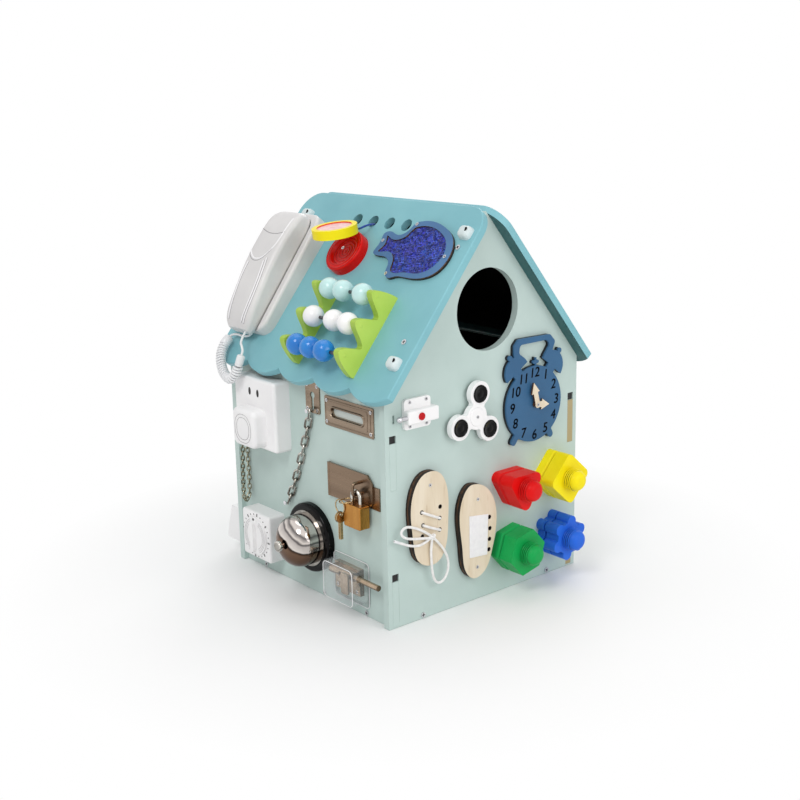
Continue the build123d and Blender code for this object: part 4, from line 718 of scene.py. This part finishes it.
# Elastic of the castanets
ELASTIC_RADIUS = 0.0013
ELASTIC = metres([(-30.5, -50.89, 424.22), (-13.5, -50.89, 424.22)]) + [
    on_roof(-8.5, 47, 10.5), on_roof(-9, 40, 4), on_roof(-11, 35.5, -2.5), on_roof(-11.5, 34.5, -9)]
KNOT = [(-9.6, 38.5, 1.9), (-8.2, 40.2, 3.4), (-9.4, 41.6, 4.6), (-10.8, 40.2, 3.6), (-9.2, 38.8, 2.6)]
elastic_knot = tubes("elastic_knot", [[on_roof(*point) for point in KNOT]], 0.0012, 8,
                     elastic_cloth, "house")
castanet_cord = cord_piece("castanet_cord", ELASTIC, ELASTIC_RADIUS, elastic_cloth, "blue_elastic",
                           far_end="object", stiffness="limp", lay="taut", with_pieces=[elastic_knot])
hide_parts("castanet_elastic")

# Shoe lace: two crossing strands, the knot, two loops and a free end with its aglet
LACE_RADIUS = 0.0015
LOOP_LEFT = [(-96, 101, 13), (-106, 109, 12.5), (-120, 117, 12), (-133, 121.5, 11), (-140, 115, 10),
             (-134, 107.5, 11), (-120, 104, 12), (-106, 101.5, 12.5), (-97, 99.5, 13)]
FREE_END = [(-97, 99.5, 11.5), (-109, 94, 11.8), (-124, 96, 11), (-136, 101.5, 9), (-146, 106.5, 7)]
LOOP_HANGING = [(-96, 101, 13), (-97.5, 88, 12), (-96.5, 74, 11.2), (-95, 60, 10.5), (-91, 46, 9.5),
                (-82, 40, 9), (-73, 46, 9.5), (-69.5, 60, 10.5), (-74, 75, 11.5), (-84, 89, 12.2),
                (-95, 100, 13)]
STRAND_HIGH = [(-107.3, 131, 4), (-107.3, 131, 9), (-105.5, 130.2, 11.9), (-94, 124.5, 12.1),
               (-83, 119.2, 11.9), (-81.3, 118.4, 9), (-81.3, 118.4, 4)]
STRAND_LOW = [(-106, 115.7, 4), (-106, 115.7, 9), (-104.5, 115, 11.9), (-94, 110.2, 12.1),
              (-83, 105.4, 11.9), (-81.3, 104.7, 9), (-81.3, 104.7, 4)]


def lace(name, points, far_end, **facts):
    route = [on_gable(*point) for point in points]
    return cord_piece(name, route, LACE_RADIUS, lace_cotton, "white_cord",
                      far_end=far_end, stiffness="limp", **facts)


LACE_KNOT, WIDE, DEEP, SPREAD = (-96, 101, 13), 0.0026, 0.0022, 0.0006
knot_rings = []
for turn in range(3):
    tilt = math.radians(35 * turn - 30)
    ring = []
    for a in circle(24, closed=True):
        across = math.cos(a) * WIDE
        ring.append(on_gable(*LACE_KNOT) + Vector((
            math.sin(a) * DEEP, across * math.cos(tilt) + SPREAD * (turn - 1), across * math.sin(tilt))))
    knot_rings.append(ring)
lace_knot = tubes("lace_knot", knot_rings, 0.00155, 10, lace_cotton, "house")
aglet_mesh = bmesh.new()
tip, before = on_gable(*FREE_END[-1]), on_gable(*FREE_END[-2])
add_lathe(aglet_mesh, [(0.0014, -0.008), (0.00165, -0.0076), (0.00165, -0.0006), (0.0012, 0.0)],
          placed(tip, tip - before), 16)
lace_aglet = piece("lace_aglet", aglet_mesh, cord_plastic, "house")
lace_hanging = lace("lace_hanging", LOOP_HANGING, "knot", lay="hanging", with_pieces=[lace_knot])
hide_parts("shoe_lace")
lace("lace_left", LOOP_LEFT, "knot", lay="loose")
lace("lace_free", FREE_END, "bare", lay="loose", with_pieces=[lace_aglet])
lace("lace_strand_high", STRAND_HIGH, "object", lay="taut")
lace("lace_strand_low", STRAND_LOW, "object", lay="taut")


# Cloth: the felt strap, and the sequin panel in the whale


def soft_copy(name, node, voxel, swell, ripple_size, finish):
    """A finely meshed copy of a soft CAD solid, its edges rounded and its faces slightly uneven."""
    made = linked(name, nodes[node].data.copy())
    remesh = made.modifiers.new("remesh", "REMESH")
    remesh.mode = "VOXEL"
    remesh.voxel_size = voxel
    smooth = made.modifiers.new("smooth", "SMOOTH")
    smooth.iterations = 4
    made.data = bpy.data.meshes.new_from_object(made.evaluated_get(bpy.context.evaluated_depsgraph_get()))
    made.modifiers.clear()
    for vertex in made.data.vertices:
        vertex.co += vertex.normal * (noise.noise(vertex.co * ripple_size) * swell)
    made.data.materials.clear()
    made.data.materials.append(finish.material)
    made.data.polygons.foreach_set("use_smooth", [True] * len(made.data.polygons))
    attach(made, "house")
    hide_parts(node)
    return made


shoe_felt = soft_copy("shoe_felt", "shoe_strap", 0.0005, 0.00012, 260.0, felt)

whale_cloth = soft_copy("whale_cloth", "whale_sequins", 0.0007, 0.00022, 180.0,
                        sequin_cloth)
cloth_tree = surface_of("whale_sequins")
sequin_mesh = bmesh.new()
SEQUIN_RADIUS, SEQUIN_DIP, SEQUIN_OFF, SEQUIN_EDGE = 0.0017, 0.00022, 0.0026, 0.001
STEP_ACROSS, STEP_DOWN = 0.0026, 0.0021
FIELD_LEFT, FIELD_RIGHT, FIELD_TOP, FIELD_BOTTOM = 0.018, 0.145, 0.03, 0.108
row, slope = 0, FIELD_TOP
while slope < FIELD_BOTTOM:
    x = FIELD_LEFT + (row % 2) * STEP_ACROSS / 2
    while x < FIELD_RIGHT:
        spot = RIDGE + Vector((x, 0, 0)) + DOWN_SLOPE * slope + ROOF_OUT * SEQUIN_OFF
        start = spot + ROOF_OUT * 0.01
        hits = [cloth_tree.ray_cast(start + Vector((dx, 0, 0)) + DOWN_SLOPE * ds, -ROOF_OUT)[0]
                for ds in (SEQUIN_EDGE, -SEQUIN_EDGE) for dx in (SEQUIN_EDGE, -SEQUIN_EDGE)]
        if all(hits):
            lean = Vector((random.uniform(-0.28, 0.28), 0, 0)) + DOWN_SLOPE * random.uniform(-0.34, 0.1)
            local = placed(spot, ROOF_OUT + lean, X)
            rim = [sequin_mesh.verts.new(local @ polar(SEQUIN_RADIUS, a)) for a in circle(8)]
            heart = sequin_mesh.verts.new(local @ Vector((0, 0, -SEQUIN_DIP)))
            for low, high in zip(rim, rim[1:] + rim[:1]):
                sequin_mesh.faces.new((low, high, heart))
        x += STEP_ACROSS
    slope += STEP_DOWN
    row += 1
data = bpy.data.meshes.new("whale_sequin_discs")
sequin_mesh.to_mesh(data)
sequin_mesh.free()
data.materials.append(sequin_foil.material)
sequin_discs = linked("whale_sequin_discs", data)
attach(sequin_discs, "house")

# Screws: domed heads on the seats of the CAD ones, with a cross recess in dark blocks of painted shade
BIG, SMALL = (0.0032, 0.0013), (0.0021, 0.0008)
OUT = {on_gable: GABLE_OUT, on_wall: WALL_OUT, on_roof: ROOF_OUT}
SCREW_ROWS = [
    (on_gable, BIG, 0, [(-100.6, 4.5), (100, 4.5)]),
    (on_wall, BIG, 0, [(-100, 4.5), (24, 4.5), (104.6, 4.5)]),
    (on_roof, BIG, 0, [(150.8, 54), (148, 175)]),
    (on_roof, SMALL, 4, [(71.3, 33.1), (29.3, 59.1), (64.8, 100.1), (142.8, 69.1)]),
    (on_gable, SMALL, 4, [(-118.1, 230.6), (-118.1, 257.6), (-94.6, 230.6), (-94.6, 257.6)]),
    (on_gable, SMALL, 9, [(-95, 160), (-23, 127), (-24.3, 44.6)]),
    (on_wall, SMALL, 1.2, [(42, 220), (42, 244.5), (122, 220), (122, 244.5)]),
    (on_wall, SMALL, 1.5, [(5, 228.5), (5, 256.5), (24, 228.5), (24, 256.5)]),
    (on_wall, SMALL, 6, [(59, 28.5), (95, 28.5)]),
    (on_gable, SMALL, 11.2, [(72.5, 222)]),
    (on_gable, SMALL, 12.2, [(-25.6, 225.5)]),
    (on_roof, SMALL, 8, [(-28, 78)]),
]
SCREWS = [(over(*spot, off), OUT[over], size) for over, size, off, spots in SCREW_ROWS for spot in spots]
head_mesh, recess_shade_mesh = bmesh.new(), bmesh.new()
for number, (seat, out, (radius, height)) in enumerate(SCREWS):
    local = placed(seat, out) @ Matrix.Rotation(1.1 * number, 4, "Z")
    dome = [(radius, 0), (radius * 0.98, height * 0.35), (radius * 0.8, height * 0.75),
            (radius * 0.45, height * 0.95), (radius * 0.1, height)]
    add_lathe(head_mesh, dome, local, 24)
    # Dark blocks for the cross recess: painted shade.
    for turned in (0, math.pi / 2):
        arm = local @ Matrix.Rotation(turned, 4, "Z") @ Matrix.Translation((0, 0, height * 0.6))
        add_block(recess_shade_mesh, arm, (radius * 1.35, radius * 0.36, height * 0.43), height * 0.05)
piece("screw_heads", head_mesh, steel, "house")
piece("screw_recess_shades", recess_shade_mesh, dark_marks_and_shade, "house")

# Threads on the tips of the toy bolts, over a darkened sleeve at their roots: painted shade between the
# turns
THREAD_ROOT = [(0.01256, 0.0341), (0.01256, 0.0446), (0.0121, 0.0449)]
THREAD_RADIUS, THREAD_FROM, THREAD_STEP, THREAD_LEAN = 12.9, 35.3, 2.7, 0.5
for name, ((y, z), _, _, slot) in TOY.items():
    root_mesh = bmesh.new()
    add_lathe(root_mesh, THREAD_ROOT, placed(on_gable(y, z), GABLE_OUT), 48)
    piece("toy_shaded_root_" + name, root_mesh, toy_groove_shades[name], "house")
    threads = [[on_gable(y + THREAD_RADIUS * math.cos(a), z + THREAD_RADIUS * math.sin(a),
                         THREAD_FROM + THREAD_STEP * number + THREAD_LEAN * math.sin(a))
                for a in circle(48, closed=True)] for number in range(4)]
    tubes("toy_thread_" + name, threads, 0.00078, 8, toy_plastics[name], "house")

# Marks of the timer, the clock's numerals and the rims of the lace holes
TIMER_X, TIMER_Z = -86, 52
TICKS, TICK_RADIUS, TICK_START = 24, 27.1, 0.13
DIAL_OFF = 25.38


def over_timer(radius, angle, off):
    """Point over the timer, from millimetres and the angle off its top."""
    return on_wall(TIMER_X + radius * math.sin(angle), TIMER_Z + radius * math.cos(angle), off)


tick_mesh = bmesh.new()
for step in range(TICKS):
    angle = 2 * math.pi * step / TICKS + TICK_START
    outward = Vector((math.sin(angle), 0, math.cos(angle)))
    long, wide = (0.0040, 0.0018) if step % 3 == 0 else (0.0017, 0.0015)
    add_block(tick_mesh, placed(over_timer(TICK_RADIUS, angle, 22.98), WALL_OUT, outward),
              (long, wide, 0.00006), 0.00002)
piece("timer_ticks", tick_mesh, dark_marks_and_shade, "house")
dot_mesh = bmesh.new()
add_lathe(dot_mesh, [(0.0019, 0), (0.0019, 0.00008), (0.0006, 0.0001)],
          placed(on_wall(-87.5, 72.8, DIAL_OFF), WALL_OUT))
piece("timer_pointer", dot_mesh, dark_marks_and_shade, "timer_knob")
arcs = [[over_timer(radius, start + 2.2 * i / 30, DIAL_OFF) for i in range(31)]
        for radius in (17, 19.4, 21.6) for start in (0.5, 0.5 + math.pi)]
tubes("timer_arcs", arcs, 0.00028, 6, grey_marks_and_shade, "timer_knob")

CLOCK_Y, CLOCK_Z = 71.5, 222
NUMERALS_Y, NUMERALS_Z, NUMERAL_SIZE = 36.5, 37.5, 0.0165


def numeral(text, y, z):
    """An hour's number, lying on the clock's face."""
    data = bpy.data.curves.new("numeral", "FONT")
    data.body = text
    data.size = NUMERAL_SIZE
    data.align_x = "CENTER"
    data.align_y = "CENTER"
    data.extrude = 0.00004
    data.shear = 0.12
    made = linked("numeral", data)
    mesh = bpy.data.meshes.new_from_object(made)
    bpy.data.objects.remove(made)
    mesh.transform(placed(on_gable(y, z, 6.02), GABLE_OUT, Y))
    return mesh


numeral_ink = moulded("numeral_ink", rgb(14, 20, 30), rgb(24, 30, 42), (0.5, 0.6))
numeral_mesh = bmesh.new()
for hour in range(1, 13):
    angle = math.radians(30 * hour)
    y, z = CLOCK_Y + NUMERALS_Y * math.sin(angle), CLOCK_Z + NUMERALS_Z * math.cos(angle)
    for dy, dz in ((-0.4, 0), (0.4, 0), (0, 0.25), (0, -0.25)):
        numeral_mesh.from_mesh(numeral(str(hour), y + dy, z + dz))
piece("clock_numerals", numeral_mesh, numeral_ink, "house")

HOLES = [(-80.4, 131.6), (-81.3, 118.4), (-81.3, 104.7), (-107.3, 131), (-106, 115.7), (-107, 102.8),
         (-4.6, 101), (-4, 87), (-4.6, 74), (-5.6, 61.4)]
RIM_RADIUS, SOLE_OFF = 2.35, 9
rims = [[on_gable(y + RIM_RADIUS * math.cos(a), z + RIM_RADIUS * math.sin(a), SOLE_OFF)
         for a in circle(20, closed=True)] for y, z in HOLES]
tubes("hole_rims", rims, 0.0003, 6, dark_marks_and_shade, "house")

# Fine pieces: corner blocks, spinner dishes, rod plugs, flush pull, painted shade in holes, grooves and
# slots, and painted highlights on edges
CORNER_STEPS = 12
BLOCK_STEPS = ((0, 0), (0.3, 3), (0.9, 6), (2, 7.8), (3.6, 8.7), (5.4, 9))


def rounded(local, width, height, corner, off=0, closed=False):
    """A rounded rectangle in a local frame, from millimetres; single steps span its straight sides."""
    x, y = width / 2 - corner, height / 2 - corner
    out = []
    for quarter, (u, v) in enumerate(((x, y), (-x, y), (-x, -y), (x, -y))):
        for i in range(CORNER_STEPS):
            a = math.pi / 2 * (quarter + i / (CORNER_STEPS - 1))
            out.append(local @ Vector((
                (u + corner * math.cos(a)) / 1000, (v + corner * math.sin(a)) / 1000, off / 1000)))
    return out + out[:closed]


block_mesh, block_hole_shades = bmesh.new(), bmesh.new()
for x, slope in ((152.5, 202), (-141, 36), (152.5, 36)):
    local = placed(on_roof(x, slope), ROOF_OUT, X)
    add_rings(block_mesh, [rounded(local, 17 - 2 * inset, 15.6 - 2 * inset, 4.6 - inset * 0.45, off)
                           for inset, off in BLOCK_STEPS])
    # A black disc in each block's hole: painted shade.
    add_lathe(block_hole_shades, [(0.0026, 0), (0.0026, 0.00012), (0.0012, 0.00026)],
              local @ Matrix.Translation((0.0038, 0.0012, 0.0087)), 24)
corner_blocks = piece("corner_blocks", block_mesh, block_plastic, "house", 60)
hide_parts("roof_corner_blocks")
piece("corner_block_hole_shades", block_hole_shades, black_plastic, "house")

dish_mesh = bmesh.new()
DISH = [(9.8, 0), (9.9, 0.8), (9.2, 1.25), (8.4, 1), (7.2, 0.35), (4.6, 0.12), (3.9, 0.5), (2.4, 0.8),
        (0.3, 0.9)]
for y, z in ((-50.5, 216.9), (-5.8, 208.2), (-20.6, 251.3)):
    local = placed(on_gable(y, z, 12.15), GABLE_OUT)
    add_lathe(dish_mesh, [(r / 1000, h / 1000) for r, h in DISH], local, 48)
piece("spinner_dishes", dish_mesh, black_plastic, "spinner", 25)

plug_mesh = bmesh.new()
for y, z in ((-162.1, 307.1), (-138.5, 336.3), (-114.9, 365.4)):
    for x, out in ((0.0994, 1), (-0.0084, -1)):
        add_lathe(plug_mesh, [(0.0021, 0), (0.0021, 0.0015), (0.0018, 0.00165)],
                  placed(Vector((x, y / 1000, z / 1000)), (out, 0, 0)), 24)
piece("rod_plugs", plug_mesh, lime_paint, "house")

PULL = facing_wall(79.8, 232, 1.2)
BEZEL = ((72, 24, 3, -0.1), (72, 24, 3, 0.35), (64, 15, 7.4, 0.5), (62.6, 13.6, 6.7, 1.6),
         (60.4, 11.4, 5.6, 1.7), (58.8, 9.8, 4.8, 0.9), (58.8, 9.8, 4.8, -3.6))
PAN = ((60, 11, 5.4, -3.9), (60, 11, 5.4, -3.5), (20, 2, 0.9, -3.7))
bezel_mesh = bmesh.new()
add_rings(bezel_mesh, [rounded(PULL, *step) for step in BEZEL], close=False)
add_tube(bezel_mesh, rounded(PULL, 82, 28, 4, 0.1, closed=True), 0.0005)
piece("pull_bezel", bezel_mesh, nickel, "house", 50)
pan_mesh = bmesh.new()
add_rings(pan_mesh, [rounded(PULL, *step) for step in PAN])
piece("pull_pan", pan_mesh, pull_pan_paint, "house")

# Dark ovals in the socket's slits: painted shade in the holes.
hole_shade_mesh = bmesh.new()
for x, z in ((-86, 236), (-69, 235.5)):
    oval = facing_wall(x, z, 21.99) @ Matrix.Diagonal((0.0026, 0.0047, 1, 1))
    add_lathe(hole_shade_mesh, [(1, 0), (1, 0.00006), (0.6, 0.00007)], oval)
piece("socket_hole_shades", hole_shade_mesh, dark_marks_and_shade, "house")
# Grey lines on the plug's face: painted shade in its grooves.
plug_face = facing_wall(-77, 194, 40)
grooves = [rounded(plug_face, *size, closed=True) for size in ((34, 35, 15), (26, 27, 11.5))]
tubes("plug_groove_shades", grooves, 0.00032, 6, grey_marks_and_shade, "plug")
# Light lines round the clear cover: painted highlights on its edges.
edges = [rounded(facing_wall(78.5, 38, off), *size, closed=True)
         for off, *size in ((21.6, 54.4, 43.4, 6), (1.4, 65.6, 54.6, 6))]
tubes("cover_edge_highlights", edges, 0.00042, 6, painted_highlight_line, "house")

# Dark plates in the slots of the gables: painted shade.
shadow_mesh = bmesh.new()
for side in (1, -1):
    for y in (-0.1395, 0.1395):
        for z in (0.0596, 0.2186):
            add_block(shadow_mesh, placed(Vector((side * 0.1492, y, z)), (side, 0, 0), Y),
                      (0.0086, 0.0084, 0.0009), 0.0001)
piece("slot_shadows", shadow_mesh, dark_marks_and_shade, "house")

# Lines of the telephone handset: a seam, ridges lighter than the handset as painted highlights, and grey
# lines beside them as painted shadows
handset_tree = surface_of("phone_handset")


def over_handset(points, sunk):
    """A line of (x, slope) places, smoothed and dropped onto the handset."""
    dropped = []
    for spot in line_of([Vector((x / 1000, s / 1000, 0)) for x, s in points]):
        start = RIDGE + Vector((spot.x, 0, 0)) + DOWN_SLOPE * spot.y + ROOF_OUT * 0.08
        hit = handset_tree.ray_cast(start, -ROOF_OUT)[0]
        if hit:
            dropped.append(hit - ROOF_OUT * sunk)
    return dropped


def handset_line(name, finish, radius, sunk, *routes):
    """Round beads along the routes, partly sunk into the handset."""
    paths = [over_handset(route, sunk) for route in routes]
    tubes(name, paths, radius, 10, finish, "handset", 180)


def beside(route, dx, ds):
    return [(x + dx, s + ds) for x, s in route]


SEAM = [(-145, 86), (-134, 90), (-121, 91.5), (-108, 90.5), (-98, 87)]
WAVE = [(-145, 117), (-139, 124), (-128, 128), (-116, 125.5), (-107, 116), (-101, 104), (-99, 88),
        (-99.5, 66)]
LONG_RIBS = [[(-105, 124), (-101.5, 140), (-101, 165), (-102.5, 190), (-105, 207)],
             [(-109, 128), (-106, 142), (-105.5, 165), (-107, 190), (-109.5, 206)],
             [(-139, 132), (-141.5, 150), (-141, 170), (-139.5, 190), (-137, 205)]]
handset_line("handset_seam", grey_mark, 0.00045, 0.00015, SEAM)
# Ridges in a lighter white: painted highlights.
handset_line("handset_highlit_ridges", painted_highlight_line, 0.0013, 0.0007, WAVE, *LONG_RIBS)
# Grey lines beside the wave and the ribs: painted shadows of the ridges.
handset_line("handset_ridge_shadows", grey_marks_and_shade, 0.0006, 0.0003, beside(WAVE, -0.6, 2.6),
             *(beside(rib, 1.9, 0) for rib in LONG_RIBS))

# Stage, light and camera
FLOOR_Z = -0.0004
floor_mesh = bmesh.new()
add_rings(floor_mesh, [[polar(radius, a, FLOOR_Z) for a in circle(64)] for radius in (0.3, 1.0, 3.0, 9.0)],
          close=False)
floor_mesh.faces.new(floor_mesh.verts[:64])
floor_data = bpy.data.meshes.new("floor")
bmesh.ops.recalc_face_normals(floor_mesh, faces=floor_mesh.faces)
floor_mesh.to_mesh(floor_data)
floor_mesh.free()
floor = linked("floor", floor_data)


def seen(tree):
    """1 for what is seen, straight, mirrored or through something clear; 0 for light on the scene."""
    path = tree.nodes.new("ShaderNodeLightPath")
    share = path.outputs["Is Camera Ray"]
    for ray in ("Is Glossy Ray", "Is Transmission Ray"):
        most = tree.nodes.new("ShaderNodeMath")
        most.operation = "MAXIMUM"
        tree.links.new(share, most.inputs[0])
        tree.links.new(path.outputs[ray], most.inputs[1])
        share = most.outputs[0]
    return share


def blended(tree, share, first, second, output):
    """Two shaders mixed by a share, as what the tree puts out."""
    both = tree.nodes.new("ShaderNodeMixShader")
    for source, target in zip((share, first, second), both.inputs):
        tree.links.new(source, target)
    tree.links.new(both.outputs["Shader"], output.inputs["Surface"])


paper = Finish("floor_paint", rough=0.9)
paper.colour((0.93, 0.93, 0.93, 1.0), (0.90, 0.90, 0.90, 1.0), 3.0)
paper.grain(300.0, 0.05, 0.0002)
glow = paper.node("ShaderNodeEmission", (("Color", (1, 1, 1, 1)),))
away = paper.node("ShaderNodeVectorMath", operation="LENGTH")
paper.link(paper.place, away.inputs[0])
share = paper.math("MULTIPLY", seen(paper.tree), paper.ramp(away.outputs["Value"], 0.2, 0.5))
blended(paper.tree, share, paper.shader.outputs["BSDF"], glow.outputs["Emission"],
        paper.tree.nodes["Material Output"])
floor_data.materials.append(paper.material)

world = bpy.data.worlds.new("studio")
world.use_nodes = True
scene.world = world
sky = world.node_tree
sky.nodes.clear()
AMBIENT, SHOWN = 0.54, 1
backgrounds = []
for strength in (AMBIENT, SHOWN):
    background = sky.nodes.new("ShaderNodeBackground")
    background.inputs["Color"].default_value = (1, 1, 1, 1)
    background.inputs["Strength"].default_value = strength
    backgrounds.append(background.outputs["Background"])
blended(sky, seen(sky), *backgrounds, sky.nodes.new("ShaderNodeOutputWorld"))

MIDDLE = Vector((0.0, 0.0, 0.22))
for name, place, size, watts in (
    ("key", (0.75, -1.6, 1.9), 0.9, 17.0),
    ("fill", (1.9, 0.1, 1.0), 1.4, 11.0),
    ("top", (-0.3, 0.1, 2.3), 1.6, 6.0),
    ("back", (-1.2, 1.7, 1.4), 1.6, 11.0),
):
    data = bpy.data.lights.new(name, "AREA")
    data.shape = "DISK"
    data.size = size
    data.energy = watts
    linked(name, data).matrix_world = placed(place, Vector(place) - MIDDLE)

azimuth, elevation, roll = (math.radians(v) for v in (50.55, 14.28, -1.18))
back = Vector((math.sin(azimuth) * math.cos(elevation), -math.cos(azimuth) * math.cos(elevation),
               math.sin(elevation)))
right = Vector((math.cos(azimuth), math.sin(azimuth), 0.0))
up = back.cross(right)
view = bpy.data.cameras.new("camera")
view.lens = 56.47
view.sensor_width = 36.0
view.clip_start = 0.05
camera = linked("camera", view)
AIM_HEIGHT, DISTANCE, SHIFT_RIGHT, SHIFT_UP = 0.2, 1.55367, -0.00243, 0.01043
spot = Vector((0, 0, AIM_HEIGHT)) + back * DISTANCE + right * SHIFT_RIGHT + up * SHIFT_UP
camera.matrix_world = placed(spot, back, right) @ Matrix.Rotation(roll, 4, "Z")
scene.camera = camera
scene.view_settings.view_transform = "Standard"

bpy.context.view_layer.update()
